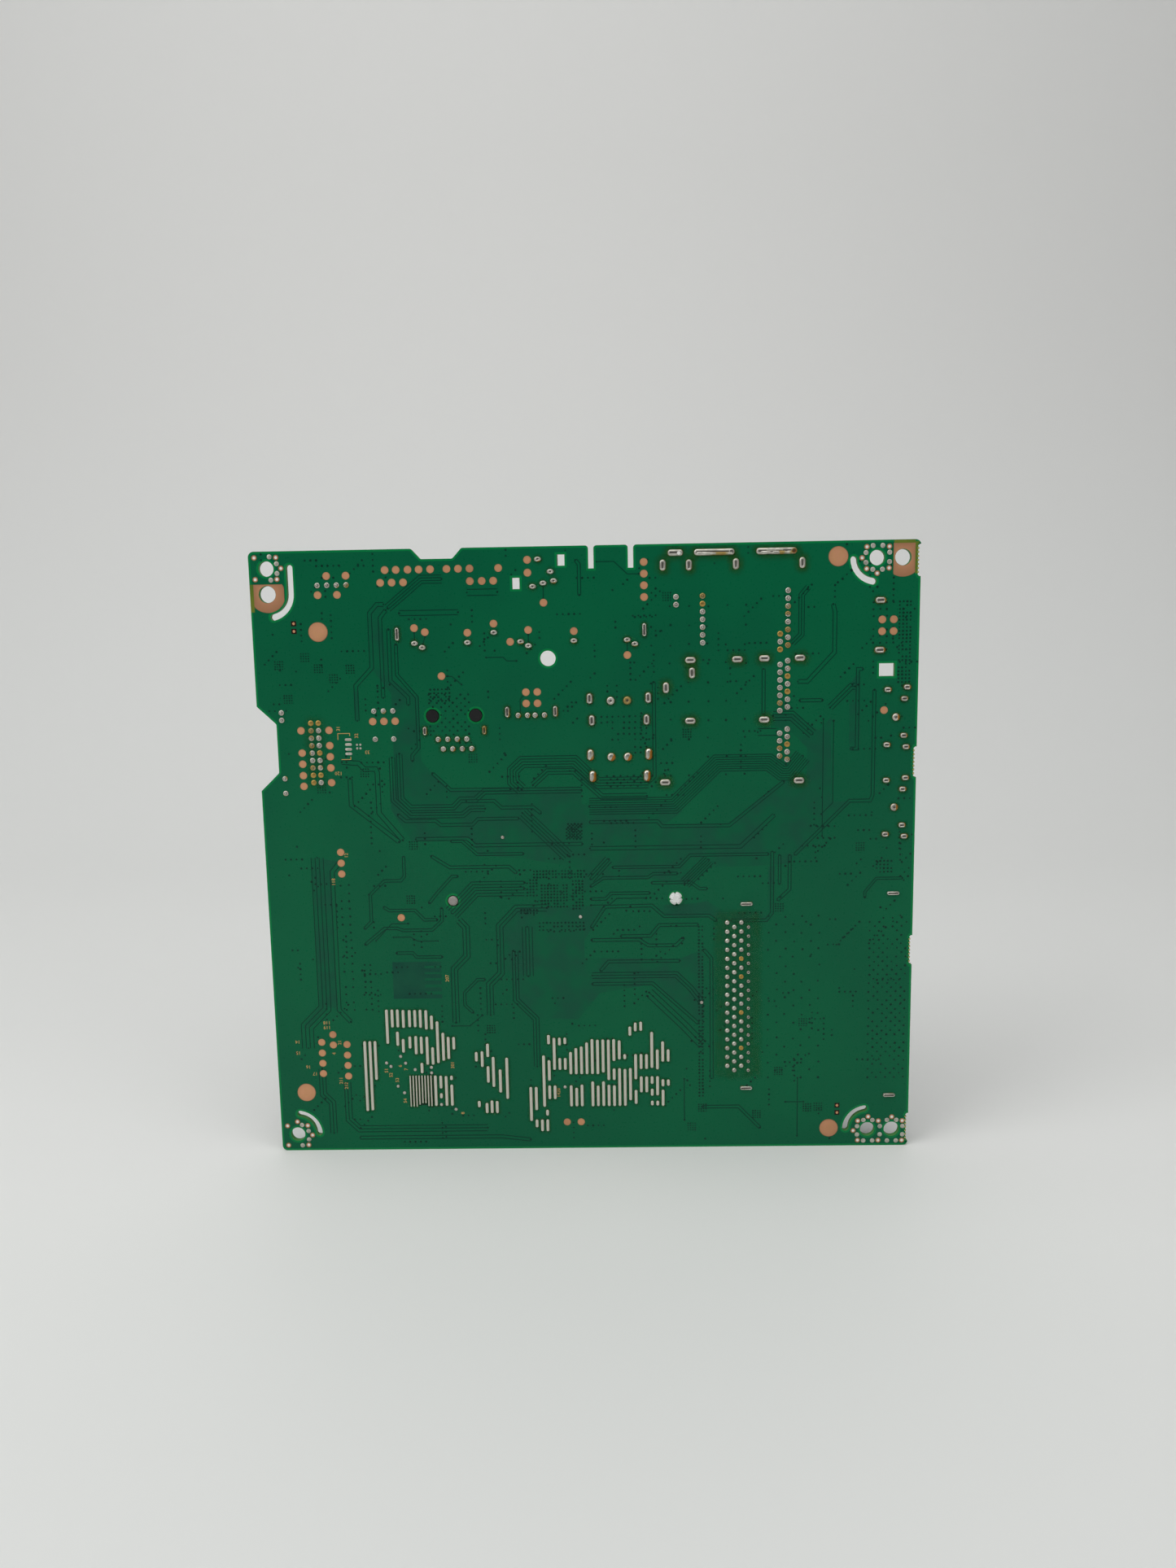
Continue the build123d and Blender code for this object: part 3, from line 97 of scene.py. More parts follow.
# Copper test pads: rows of (y, every x), columns of (x, every y)
pad_rows = (
    (159.1, (20.3, 25.4)), (154.2, (17.8, 22.9)),
    (160.35, (35.7, 38.6, 41.7, 44.6, 47.6, 51.9, 54.9, 57.9, 65.4)),
    (157.1, (34.4, 37.4, 40.4, 57.9, 61.0, 64.0)),
    (127.9, (71.8, 74.8)), (124.9, (71.8, 74.8)),
    (145.3, (165.3, 168.3)), (142.25, (165.3, 168.3)),
    (120.75, (30.8, 33.8, 36.8)), (7.7, (80.3, 84.2)),
    (162.3, (73.0,)), (159.0, (73.0,)), (151.2, (77.0,)), (145.2, (42.8,)), (144.1, (45.6,)),
    (143.75, (56.8,)), (146.0, (63.75,)), (144.2, (72.8,)), (141.2, (68.0,)), (143.7, (84.8,)),
    (137.2, (98.75,)), (132.5, (49.56,)), (121.6, (166.2,)), (67.0, (36.2,)),
)
pad_columns = (
    (103.3, (161.2, 158.2, 155.2, 152.2)),
    (11.5, (118.6, 112.6, 109.6, 106.5, 103.6)),
    (19.0, (118.6, 114.5, 111.5, 108.5, 104.5)),
    (20.5, (85.4, 82.4, 79.4)),
    (15.8, (33.9, 30.9)),
    (12.6, (31.7, 28.6, 25.6, 22.6)),
    (19.6, (31.0, 27.9, 24.9, 21.8)),
)
large_pads = ((17.4, 144.6), (153.7, 161.7), (7.6, 17.1), (153.05, 5.25))
twin_pads = ((11.06, 146.9), (11.06, 144.9), (155.3, 11.85), (155.3, 9.75))

# Rings of holes round the screw holes: open ones let light through, filled ones hold solder
open_rings = (
    (1.6, 164.1), (7.3, 164.1), (8.5, 161.3), (1.6, 158.5), (7.3, 158.5),
    (161.0, 164.0), (166.8, 164.0), (159.8, 161.2), (161.0, 158.4), (166.8, 158.5), (163.75, 157.2),
    (1.7, 7.3), (4.55, 8.5), (7.4, 7.35), (8.6, 4.5), (7.4, 1.6), (1.7, 1.55),
    (161.1, 7.25), (163.95, 8.45), (166.8, 7.2), (159.85, 4.4), (161.1, 1.55), (166.8, 1.5),
    (170.5, 8.35), (173.4, 7.2), (173.35, 1.45),
)
filled_rings = (
    (5.6, 164.3), (7.4, 162.5), (7.4, 160.0), (5.7, 158.3),
    (162.6, 164.25), (165.1, 164.25), (160.8, 162.5), (166.9, 162.5), (160.8, 160.0), (166.9, 160.1),
    (162.6, 158.2), (165.1, 158.2), (5.8, 7.5), (7.55, 5.7), (7.55, 3.2), (5.65, 1.45),
    (162.65, 7.45), (165.15, 7.4), (160.95, 5.65), (160.95, 3.2), (167.25, 5.6), (167.25, 3.2),
    (162.7, 1.4), (165.2, 1.4), (169.2, 7.4), (171.75, 7.4), (173.5, 5.6), (173.5, 3.15),
    (169.3, 1.35), (171.75, 1.35),
)
# Earth lands: hole centre, hole radius, land radius, then the edges that cut it off
earth_lands = (
    ((4.55, 154.6), 2.25, 4.8, (1.0, 9.0, 0.0, 157.2)),
    ((170.4, 161.2), 2.15, 5.0, (167.9, 173.5, 0.0, 164.8)),
)
bare_strips = (
    (0.0, 150.0, 1.0, 157.2), (168.0, 164.8, 173.5, 165.65), (173.5, 164.6, 174.45, 165.15),
    (173.5, 157.0, 174.15, 164.6),
)
# Break-off edges at the right, as in the part: heights as shares of the board's, depth, pitch of the bites
break_shares = (0.032, 0.339, 0.65, 0.968)
break_depth = 0.5
bite_pitch = 1.02

# Pads and dots of small parts
chip_pads = ((24.0, 116.0), (24.0, 114.7), (24.0, 113.4), (24.0, 112.2))
mini_pads = ((26.3, 114.6), (27.2, 114.6), (26.3, 113.6), (27.2, 113.6))
solder_dots = (
    (30.4, 25.5), (31.6, 24.5), (34.4, 27.4), (35.7, 25.4), (38.3, 23.5), (42.85, 24.1), (42.85, 22.5),
    (33.35, 18.7), (35.05, 16.75), (49.3, 11.75), (45.3, 13.2), (79.9, 18.0), (117.9, 42.0),
    (64.5, 88.9), (85.1, 66.6),
)
# Dark laminate between the finest strips: left, lower, right and upper edge
fine_gaps = (36.8, 13.0, 43.5, 21.6)

# Pins that took no solder and show their gold plating
gold_pins = (
    (14.2, 120.55), (16.2, 120.55), (14.2, 106.55), (16.2, 106.55), (14.2, 104.55), (16.2, 112.55),
    (118.5, 150.1), (138.8, 142.0), (138.8, 138.0), (140.8, 131.0), (140.8, 127.0), (140.8, 112.9),
    (128.74, 54.25), (128.74, 49.15), (128.74, 39.0), (128.74, 28.75),
)

# Tracks: how many lines run side by side, their pitch, then the corners of the middle line
tracks = (
    (2, 1.0, ((35, 151.5), (33.2, 151.5), (31.2, 149.3), (31.2, 135), (26.7, 130.3), (26.7, 121))),
    (2, 0.9, ((35.5, 150), (33.9, 148), (33.9, 127))),
    (2, 0.9, ((36, 145), (36, 131.5), (40.5, 127), (40.5, 125))),
    (2, 0.8, ((37.8, 141), (37.8, 133), (42.8, 127), (42.8, 113.5), (41, 111.5), (41, 110))),
    (4, 0.7, ((50.5, 157.8), (45, 157.8), (36, 150.5))),
    (2, 1.6, ((57, 154.2), (65, 154.2))),
    (2, 1.3, ((39, 149.15), (54.5, 149.15))),
    (1, 0.6, ((61.5, 137.2), (66, 137.2), (67, 136.2), (69.5, 136.2))),
    (1, 0.6, ((49.6, 132.4), (52.3, 132.4), (54.8, 130.2))),
    (2, 1.2, ((22, 110), (26.5, 109.6), (28, 108), (31, 108), (31.4, 107), (31.4, 96), (37.5, 88.5))),
    (2, 1.1, ((24, 105.5), (24, 98.3), (36.5, 88))),
    (2, 0.8, ((67, 102), (51, 102), (46.2, 106.6))),
    (3, 0.75, ((86, 101.5), (60, 101.5), (57.5, 99.3), (53.5, 99.3), (51.5, 97.3), (40, 97.3),
               (37.5, 99.8), (37.5, 112))),
    (2, 0.8, ((75, 95.3), (73, 97), (64.5, 97), (62.5, 98.9), (55, 98.9))),
    (3, 0.75, ((60, 96.8), (56, 96.8), (54, 95.2), (40, 95.2), (35.5, 99.5), (35.5, 111))),
    (2, 0.8, ((69, 94), (58, 94), (56.5, 92.5), (48, 92.5), (46.5, 93.7), (38.5, 93.7), (36.5, 95.5))),
    (5, 0.8, ((70, 95.5), (82, 83.5))),
    (2, 0.9, ((86, 86.8), (57, 86.8), (55, 88.7), (41, 88.7))),
    (2, 0.7, ((70, 84.3), (57.5, 84.3), (53.5, 88), (50.5, 88))),
    (5, 0.75, ((70, 101.8), (67.8, 104), (67.8, 107), (70.3, 109.3), (84.3, 109.3), (90.3, 103.3),
               (104, 103.3))),
    (3, 0.75, ((73, 103), (77, 106.6), (84, 106.6), (91.5, 99.6), (103.5, 99.6))),
    (2, 0.8, ((105.6, 130), (105.6, 104.8), (104, 103.4))),
    (8, 0.62, ((88, 97), (110.7, 97), (122.3, 108.2), (136, 108.2), (139.5, 105.5), (141.5, 105.5),
               (145, 109.8))),
    (2, 0.8, ((88, 92.7), (106.3, 92.7), (107.5, 91.3), (125.5, 91.3), (140, 103))),
    (2, 1.0, ((88, 85.5), (128.5, 85.5), (137.5, 94))),
    (2, 0.8, ((143, 83), (157.5, 97.5), (163, 97.5), (163.6, 99), (163.6, 127))),
    (1, 0.6, ((150.3, 119.5), (150.3, 88))),
    (1, 0.6, ((153, 119), (153, 97), (150, 94))),
    (2, 1.0, ((152.5, 149.5), (153, 147.5), (153, 137), (146, 129.5), (143.5, 129.5))),
    (3, 0.7, ((146, 154), (144.3, 152), (144.3, 141.8), (142, 139.5))),
    (2, 0.8, ((160.5, 132.5), (159.2, 132.5), (159.2, 111.5), (157.5, 111.5))),
    (3, 0.8, ((152, 122.5), (157.5, 128), (158.5, 128))),
    (2, 0.8, ((144, 124.5), (150, 124.5))),
    (2, 0.8, ((134.5, 133), (134.5, 121))),
    (2, 1.8, ((133, 116.3), (138, 116.3))),
    (4, 0.8, ((137, 120.5), (142, 120.5), (147.5, 115.5))),
    (1, 0.6, ((91, 161.5), (95.5, 161.5), (99, 158.2), (102, 158.2))),
    (2, 0.8, ((85.5, 162), (86.4, 161), (86.4, 153))),
    (4, 1.1, ((14, 84), (14, 41.5), (8.8, 36.3), (8.8, 30))),
    (2, 1.1, ((20, 82.5), (17.9, 80), (17.9, 41), (21, 37.5))),
    (3, 0.9, ((12.3, 24), (12.3, 16.5), (14.7, 14), (14.7, 5))),
    (3, 0.9, ((19.2, 20), (19.2, 9), (22, 6.2), (58, 6.2))),
    (2, 0.9, ((22, 3.6), (62, 3.6), (70, 2.6))),
    (2, 0.7, ((37.5, 84), (37.5, 78.5), (36.5, 77.3), (32, 77.3), (28, 73.5), (28, 66), (26, 64))),
    (2, 0.8, ((45, 84), (50, 80.8), (66, 80.8), (68, 79))),
    (2, 0.7, ((44, 71), (46.5, 74), (50.5, 78.3), (52, 78.3))),
    (2, 0.7, ((31.5, 70), (33, 69), (40, 69), (42.5, 66.3), (46, 66.3))),
    (1, 0.6, ((29, 60.5), (33.5, 65.3), (38, 65.3))),
    (2, 0.7, ((26, 59.5), (31.5, 64), (35, 64), (36.5, 63.4), (44.5, 63.4), (47.3, 66), (47.3, 69.5))),
    (1, 0.6, ((33.8, 61.5), (38.5, 61.5), (40.5, 60.3), (46, 60.3))),
    (2, 0.7, ((34.5, 57), (39, 57), (40, 55.8), (47, 55.8))),
    (3, 0.9, ((52, 66), (53.8, 64), (53.8, 56), (50.2, 52.3), (50.2, 37))),
    (6, 0.8, ((70, 74.7), (56.5, 74.7), (50, 68))),
    (3, 0.9, ((76, 69.2), (67.7, 69.2), (63, 64.3), (63, 51), (59.8, 47.8), (59.8, 39))),
    (3, 0.8, ((67, 57), (67, 43.3), (72.3, 37.8), (72.3, 24))),
    (2, 0.7, ((58.5, 49.2), (56.5, 49.2), (52.8, 45.5), (52.8, 42), (55, 39.8))),
    (1, 0.6, ((49, 36), (54, 36), (57.5, 39))),
    (4, 0.9, ((70.5, 64), (70.5, 50))),
    (4, 0.7, ((88, 77), (93, 82.5))),
    (2, 0.7, ((94, 80.2), (112, 80.2), (115, 83.3), (136, 83.3))),
    (2, 0.7, ((88, 75), (91.5, 77.3), (103.5, 77.3), (105, 78.3), (111.5, 78.3))),
    (2, 0.7, ((104.5, 75.8), (115, 75.8), (117.5, 74), (119.5, 74))),
    (2, 0.7, ((88, 71.5), (92, 71.5), (93.5, 73), (104, 73))),
    (1, 0.6, ((88, 69.8), (93, 69.8), (95, 71.6), (103, 71.6))),
    (2, 0.8, ((88, 63.5), (91.8, 69.3), (104.5, 69.5), (107.8, 66.5), (120, 66.5), (122, 65))),
    (6, 0.6, ((113.5, 75.5), (120, 82))),
    (2, 0.8, ((96, 61), (104, 61), (106.5, 64), (117, 64))),
    (2, 0.8, ((88, 60), (101, 60), (103.5, 58.3), (111, 58.3), (113, 60.3))),
    (2, 0.8, ((90.3, 51.3), (92.5, 53.9), (112, 53.9))),
    (3, 0.8, ((88, 50), (111, 50), (115, 46), (118, 42))),
    (2, 0.8, ((88, 47.6), (104.5, 47.6), (117, 36))),
    (3, 1.2, ((103.5, 45), (113, 35.5), (118, 30))),
    (2, 0.8, ((118.5, 57), (120.6, 54.5), (120.6, 20))),
    (1, 0.6, ((113, 20), (113, 8))),
    (2, 0.8, ((118, 11.8), (128, 11.8), (134, 5.5))),
    (2, 0.8, ((141.7, 83), (141.7, 73.5), (138.5, 70.5))),
    (2, 0.7, ((139, 83), (139, 75))),
    (2, 0.8, ((137, 84), (137, 67), (135.5, 65), (126, 65))),
    (2, 0.6, ((162, 71), (162, 72.5), (165, 76.2), (172, 76.2))),
    (1, 0.6, ((144.3, 20), (144.3, 3))),
    (1, 0.6, ((141, 13), (146, 13))),
    (1, 0.6, ((42.8, 144), (42.8, 142))), (1, 0.6, ((45.6, 143), (45.0, 141))),
    (1, 0.6, ((72.8, 143), (72.8, 141))), (1, 0.6, ((77, 152.2), (77, 156))),
    (1, 0.6, ((98.75, 138), (98.75, 141))), (1, 0.6, ((70.2, 121.5), (70.2, 126), (71.8, 127.9))),
)

# Bundles of fine tracks seen as dull green beds: their outlines
track_beds = (
    ((86, 97.6), (110.6, 97.6), (113, 95.3), (108, 91.6), (125.5, 91.6), (139.6, 103.2), (146, 103.2),
     (146, 112), (142, 116), (137, 118), (137, 121), (143, 121), (149, 116.5), (152.4, 120),
     (152.6, 97.3), (158, 97.3), (141, 80.6), (131, 80), (121, 80), (113.5, 75.4), (104, 77),
     (91.5, 77), (86, 73)),
    ((86, 102), (51, 102), (46.2, 106.6), (43.4, 110), (43.2, 127), (36.2, 132), (33.6, 148), (35.6, 151),
     (33, 151.5), (31, 149), (31, 135), (36, 128), (36, 112), (34.6, 97), (40, 88), (56, 88.8), (58, 84),
     (70, 83), (86, 80)),
    ((62.5, 64.3), (68, 69.5), (86, 69.5), (92, 69.2), (86, 60), (86, 55), (112, 54.5), (118.3, 57),
     (118.3, 35.5), (104.6, 47.4), (90, 45), (84, 37.5), (73, 38), (66.5, 44), (66.5, 50), (62.5, 52)),
    ((12.6, 84), (19.5, 83), (17.6, 80), (17.6, 41), (15, 42), (8, 35), (8, 37), (12.6, 42)),
    ((112.8, 69.7), (104.6, 69.7), (107.8, 66.4), (121, 66.2), (126, 64.8), (136, 64.8), (137.8, 68),
     (137.8, 80), (135.9, 80), (135.9, 67.4), (124, 67.4), (119.5, 70.6), (116, 70)),
    ((26.2, 129), (27.3, 129), (27.3, 121), (26.2, 121)),
    ((157, 128), (159.8, 133), (160, 111), (157.2, 111)),
)
# A dark comb in an inner layer: its bars and the block behind their left ends
shadow_bars = tuple((33.2, height, 46.6, height + 1.15) for height in (44, 46, 48, 49.8, 51.5, 53.3))
shadow_block = (33.2, 44.0, 42.0, 54.45)

# Vias: left, lower, right and upper edge of a field, its pitch and whether its rows are staggered
via_fields = (
    (105, 105, 132, 152, 4.95, False), (90.1, 119.5, 102.5, 121.2, 1.5, False),
    (94.5, 114.9, 104.5, 118, 1.5, False), (100.5, 111.3, 104.5, 113.2, 1.5, False),
    (92, 102.4, 102, 105.9, 1.8, True), (163.5, 20, 173.5, 66, 2.45, True), (136, 20, 152, 66, 4.6, True),
    (163, 137.5, 168.5, 150, 1.75, False), (169.8, 128, 173, 150, 0.95, False),
    (46, 117, 57.5, 128, 2.1, True), (72.7, 77.7, 86.6, 80.0, 0.85, False),
    (70.8, 72.7, 73.4, 77.0, 0.85, False), (74.7, 69.5, 82.0, 76.0, 0.85, False),
    (83.2, 68.9, 86.3, 76.8, 0.85, False), (73.9, 63.0, 86.6, 65.6, 1.0, False),
    (69.0, 67.8, 73.6, 68.7, 0.85, False), (81.8, 88.2, 86.2, 92.6, 0.9, True),
    (117.2, 15, 118.6, 64, 0.95, False),
    (20, 41, 22.5, 78, 2.2, False), (25.5, 41, 28, 55, 1.6, False), (165, 78, 169, 81, 1.0, False),
    (46.5, 126, 51.5, 129, 1.0, False),
)
thermal_grids = (
    (20.9, 132.3), (28, 107), (40.3, 87), (16.2, 102.8), (145.6, 36), (139, 22), (139, 68.5),
    (160.5, 85), (133, 9.5), (147, 11.3), (150, 11.5), (118, 11.5), (115, 6), (8.5, 127), (6.5, 136),
    (13.5, 138), (17, 135), (25.4, 134.7), (109.2, 152.2), (114.3, 116.3), (39, 72), (57.2, 110.5),
    (83.6, 89.8), (59.8, 35),
)

# Printed numbers: centre, turn in degrees, text
numbers = (
    (18.2, 77.2, 90, "118"), (22.0, 84.5, 90, "12"), (48.2, 49.7, 90, "207"), (21.5, 119.0, 90, "31"),
    (26.3, 117.0, 90, "32"), (29.0, 112.6, 180, "33"), (21.0, 107.0, 180, "120"),
    (5.9, 31.9, 180, "14"), (5.9, 28.7, 180, "15"), (8.5, 24.6, 180, "16"), (10.3, 22.6, 180, "17"),
    (14.3, 37.4, 180, "118"), (14.3, 36.0, 180, "119"), (17.6, 31.6, 90, "21"), (15.9, 28.4, 90, "4"),
    (17.5, 20.5, 90, "211"), (18.9, 19.0, 90, "212"), (30.3, 23.3, 90, "51"), (31.5, 22.0, 90, "52"),
    (33.2, 20.5, 90, "53"), (34.2, 24.6, 90, "6"), (35.8, 23.6, 90, "7"), (35.2, 14.4, 90, "54"),
    (48.8, 24.7, 90, "301"), (51.2, 10.6, 90, "8"), (78.1, 16.3, 90, "1420"),
)


def tone(red, green, blue):
    """A screen colour from 0 to 255 as linear light."""
    shares = (red / 255, green / 255, blue / 255)
    return tuple(s / 12.92 if s < 0.04045 else ((s + 0.055) / 1.055) ** 2.4 for s in shares)


def length(name, description, millimetres):
    """A size that the sidebar shows as a length."""
    return FloatProperty(name=name, description=description, default=millimetres * MM, unit="LENGTH")


def colour(name, description, default):
    """A colour that the sidebar shows as a swatch."""
    return FloatVectorProperty(
        name=name, description=description, default=default, subtype="COLOR", size=3, min=0, max=1
    )


class BoardSizes(bpy.types.PropertyGroup):
    """Sizes of the printed, plated and soldered detail."""

    pad_diameter: length("Test pad", "Diameter of a bare copper test pad", 2.05)
    large_pad_diameter: length("Large pad", "Diameter of the four large copper pads", 5.15)
    pad_lift: length("Pad lift", "How far bare copper stands over the mask", 0.05)
    ring_diameter: length("Ring", "Outer diameter of the rings round the screw holes", 1.4)
    ring_hole: length("Ring hole", "Bore of those rings", 0.8)
    track_gap: length("Track gap", "Width of the dark line beside a track", 0.24)
    track_lift: length("Track lift", "How far the lines stand over the board", 0.012)
    bed_lift: length("Bed lift", "How far the dull beds stand over the board", 0.005)
    via_diameter: length("Via", "Diameter of a covered via", 0.64)
    via_lift: length("Via lift", "How far a covered via stands over the board", 0.03)
    # The border round the board and its holes is painted brighter, standing in for light shining through the
    # laminate from behind
    rim_width: length("Rim", "Width of the clear border round the board and its holes", 0.55)
    number_height: length("Number height", "Height of the printed numbers", 1.0)
    number_lift: length("Number lift", "Thickness of the printed numbers", 0.035)
    haze_reach: length("Haze reach", "How far dried flux spreads round a joint", 1.9)
    via_rows: IntProperty(name="Via rows", description="Short rows of vias over the board", default=430)


class BoardColours(bpy.types.PropertyGroup):
    """Colours of the board, its metals and its plastics."""

    mask: colour("Mask", "Solder mask over copper planes", tone(0, 95, 60))
    mask_shade: colour("Mask shade", "Solder mask where the copper is thinner", tone(0, 89, 58))
    mask_line: colour("Mask line", "Gaps between tracks under the mask", tone(0, 57, 42))
    mask_bed: colour("Mask bed", "Bundles of fine tracks under the mask", tone(12, 80, 58))
    comb: colour("Comb", "Dark copper of an inner layer", tone(6, 70, 54))
    via: colour("Via", "Covered vias", tone(0, 44, 33))
    # Partly real, partly painted light: mask with no copper behind it is a lighter green, and this colour is
    # brighter still, standing in for light shining through the laminate from behind
    rim: colour("Rim", "Border with no copper behind the mask", tone(0, 120, 63))
    core: colour("Core", "Cut edge of the laminate", tone(96, 140, 62))
    copper: colour("Copper", "Bare copper pads", tone(214, 155, 117))
    copper_dark: colour("Dark copper", "Tarnished copper and pad rims", tone(104, 62, 42))
    solder: colour("Solder", "Bright solder", tone(204, 201, 190))
    solder_dull: colour("Dull solder", "Ripples in the solder", tone(136, 132, 120))
    # Painted shade: it darkens the gaps round the leads, the slots, the end of each rail and the rims of the
    # small dots
    hollow: colour("Hollow", "Shadowed gaps round the leads", tone(44, 36, 26))
    tin: colour("Tin", "Solder coat of the strips", tone(208, 205, 190))
    flux: colour("Flux", "Dried flux in thick drops", tone(156, 96, 6))
    varnish: colour("Varnish", "Thin flux over solder", tone(158, 140, 84))
    haze: colour("Haze", "Thin dried flux on the mask", tone(38, 86, 22))
    gold: colour("Gold", "Gold flash on pins", tone(188, 154, 86))
    ink: colour("Ink", "Printed numbers", tone(206, 160, 98))
    steel: colour("Steel", "Tin-plated sheet", tone(196, 197, 196))
    nickel: colour("Nickel", "Bright plating", tone(208, 206, 200))
    aluminium: colour("Aluminium", "Extruded heat sink", tone(188, 190, 194))
    ivory: colour("Ivory", "Header mouldings", tone(226, 218, 192))
    resin: colour("Resin", "Chip bodies", tone(38, 38, 40))
    # Painted light: the floor of the sweep is paler than its wall, standing in for the overhead light falling
    # more on the floor
    floor: colour("Floor", "Paper sweep under the board", tone(233, 234, 231))
    wall: colour("Wall", "Paper sweep behind the board", tone(228, 228, 225))
    lit: colour("Lit", "Light through an open hole", tone(236, 234, 228))


class Value:
    """A number in a finish: arithmetic on it adds Math nodes."""

    def __init__(self, finish, socket):
        self.finish = finish
        self.socket = socket

    def math(self, operation, *terms):
        """One Math node over the terms in order."""
        return self.finish.node("ShaderNodeMath", {"operation": operation}, dict(enumerate(terms)))

    def __add__(self, other):
        return self.math("ADD", self, other)

    def __sub__(self, other):
        return self.math("SUBTRACT", self, other)

    def __rsub__(self, other):
        return self.math("SUBTRACT", other, self)

    def __mul__(self, other):
        return self.math("MULTIPLY", self, other)

    def __truediv__(self, other):
        return self.math("DIVIDE", self, other)

    __radd__ = __add__
    __rmul__ = __mul__

    def rise(self, low, high):
        """0 below low, 1 above high, with a soft step between."""
        return self.finish.node(
            "ShaderNodeMapRange", {"interpolation_type": "SMOOTHSTEP"},
            {"Value": self, "From Min": low, "From Max": high},
        )


class Finish:
    """One procedural material round a Principled shader."""

    def __init__(self, name, constants):
        self.material = bpy.data.materials.new(name)
        self.material.use_nodes = True
        self.tree = self.material.node_tree
        self.shader = self.tree.nodes["Principled BSDF"]
        for socket, value in constants.items():
            self.shader.inputs[socket].default_value = value
        self.where = self.node("ShaderNodeTexCoord", output="Object")

    def node(self, kind, settings=None, inputs=None, output=0):
        """Add a node: its settings first, then the values or links of its sockets."""
        made = self.tree.nodes.new(kind)
        for setting, value in (settings or {}).items():
            setattr(made, setting, value)
        for key, value in (inputs or {}).items():
            if isinstance(value, Value):
                self.tree.links.new(value.socket, made.inputs[key])
            else:
                made.inputs[key].default_value = value
        return Value(self, made.outputs[output])

    def axis(self, name):
        """One Object coordinate."""
        return self.node("ShaderNodeSeparateXYZ", inputs={"Vector": self.where}, output=name)

    def noise(self, scale, detail=2.0, stretch=None):
        """Cloudy variation with so many waves to the metre."""
        where = self.where
        if stretch:
            where = self.node("ShaderNodeMapping", inputs={"Vector": where, "Scale": stretch})
        return self.node("ShaderNodeTexNoise", inputs={"Vector": where, "Scale": scale, "Detail": detail})

    def shade(self, layer="shade"):
        """What is painted on the mesh: flux from 0 at a crown to 1 at a rim, or painted shade in the hollows.
        """
        return self.node("ShaderNodeAttribute", {"attribute_name": layer}, output="Fac")

    def mix(self, factor, first, second):
        """From the first colour to the second."""
        ends = [end if isinstance(end, Value) else (*end, 1.0) for end in (first, second)]
        return self.node("ShaderNodeMix", {"data_type": "RGBA"}, {0: factor, 6: ends[0], 7: ends[1]}, 2)

    def feed(self, socket, value):
        """Drive one socket of the shader."""
        self.tree.links.new(value.socket, self.shader.inputs[socket])

    def bump(self, height, strength, distance):
        """Fine relief."""
        self.feed("Normal", self.node(
            "ShaderNodeBump", inputs={"Height": height, "Strength": strength, "Distance": distance * MM}
        ))


# Finishes


def mask_finish(colours):
    """Green solder mask on both faces, cut laminate round the edges."""
    finish = Finish("solder_mask", {"IOR": 1.5, "Specular IOR Level": 0.16})
    depth = (finish.axis("Y") - board_low.y) / MM
    cut = depth.rise(0.03, 0.1) * (1 - depth.rise(board_thickness - 0.1, board_thickness - 0.03))
    clouds = finish.noise(22, 3)
    weave = finish.noise(1500, 1)
    green = finish.mix(clouds.rise(0.35, 0.65), colours.mask, colours.mask_shade)
    core = finish.mix(finish.noise(900, 3, (1, 6, 1)), colours.core, colours.rim)
    finish.feed("Base Color", finish.mix(cut, green, core))
    finish.feed("Roughness", 0.24 + weave * 0.1 + cut * 0.3)
    finish.bump(weave + clouds, 0.12, 0.01)
    return finish.material


def masked_finish(name, shade, blend):
    """Mask over a line, a bed, a via or a bare border."""
    finish = Finish(name, {"IOR": 1.5, "Specular IOR Level": 0.16})
    clouds = finish.noise(160, 2)
    finish.feed("Base Color", finish.mix(clouds.rise(0.3, 0.7), shade, blend))
    finish.feed("Roughness", 0.24 + clouds * 0.12)
    finish.bump(finish.noise(1500, 1), 0.1, 0.01)
    return finish.material


def copper_finish(colours):
    """Bare copper, dulled, darker round the rim."""
    finish = Finish("bare_copper", {"Metallic": 0.55})
    grain = finish.noise(700, 3)
    stain = finish.noise(55, 2)
    warm = finish.mix(grain.rise(0.3, 0.75) * 0.35, colours.copper, colours.ink)
    worn = finish.mix(stain.rise(0.5, 0.8) * 0.3, warm, colours.copper_dark)
    finish.feed("Base Color", finish.mix(finish.shade() * 0.75, worn, colours.copper_dark))
    finish.feed("Roughness", 0.4 + grain * 0.18)
    finish.bump(grain, 0.2, 0.01)
    return finish.material


def solder_finish(name, colours, flux_share, relief, roughness=0.24):
    """Bright solder with flux dried round the foot of each joint and painted shade in the hollows round the
    leads.
    """
    finish = Finish(name, {})
    ripple = finish.noise(650, 2)
    drops = finish.noise(330, 2)
    foot = finish.shade().rise(0.3, 0.9) * drops.rise(0.62 - flux_share * 0.4, 0.75 - flux_share * 0.3)
    # Painted shade: the hollow layer darkens gaps, slots and dot rims where shade falls
    hollow = finish.shade("hollow").rise(0.2, 0.8)
    bright = finish.mix(ripple.rise(0.35, 0.75) * 0.6, colours.solder, colours.solder_dull)
    varnished = finish.mix(foot.rise(0.0, 0.5), bright, colours.varnish)
    stained = finish.mix(foot.rise(0.45, 0.9), varnished, colours.flux)
    finish.feed("Base Color", finish.mix(hollow * 0.85, stained, colours.hollow))
    finish.feed("Metallic", (1 - foot * 0.75) * (1 - hollow * 0.8))
    finish.feed("Roughness", roughness + ripple * 0.2)
    finish.bump(ripple, 0.4, relief)
    return finish.material


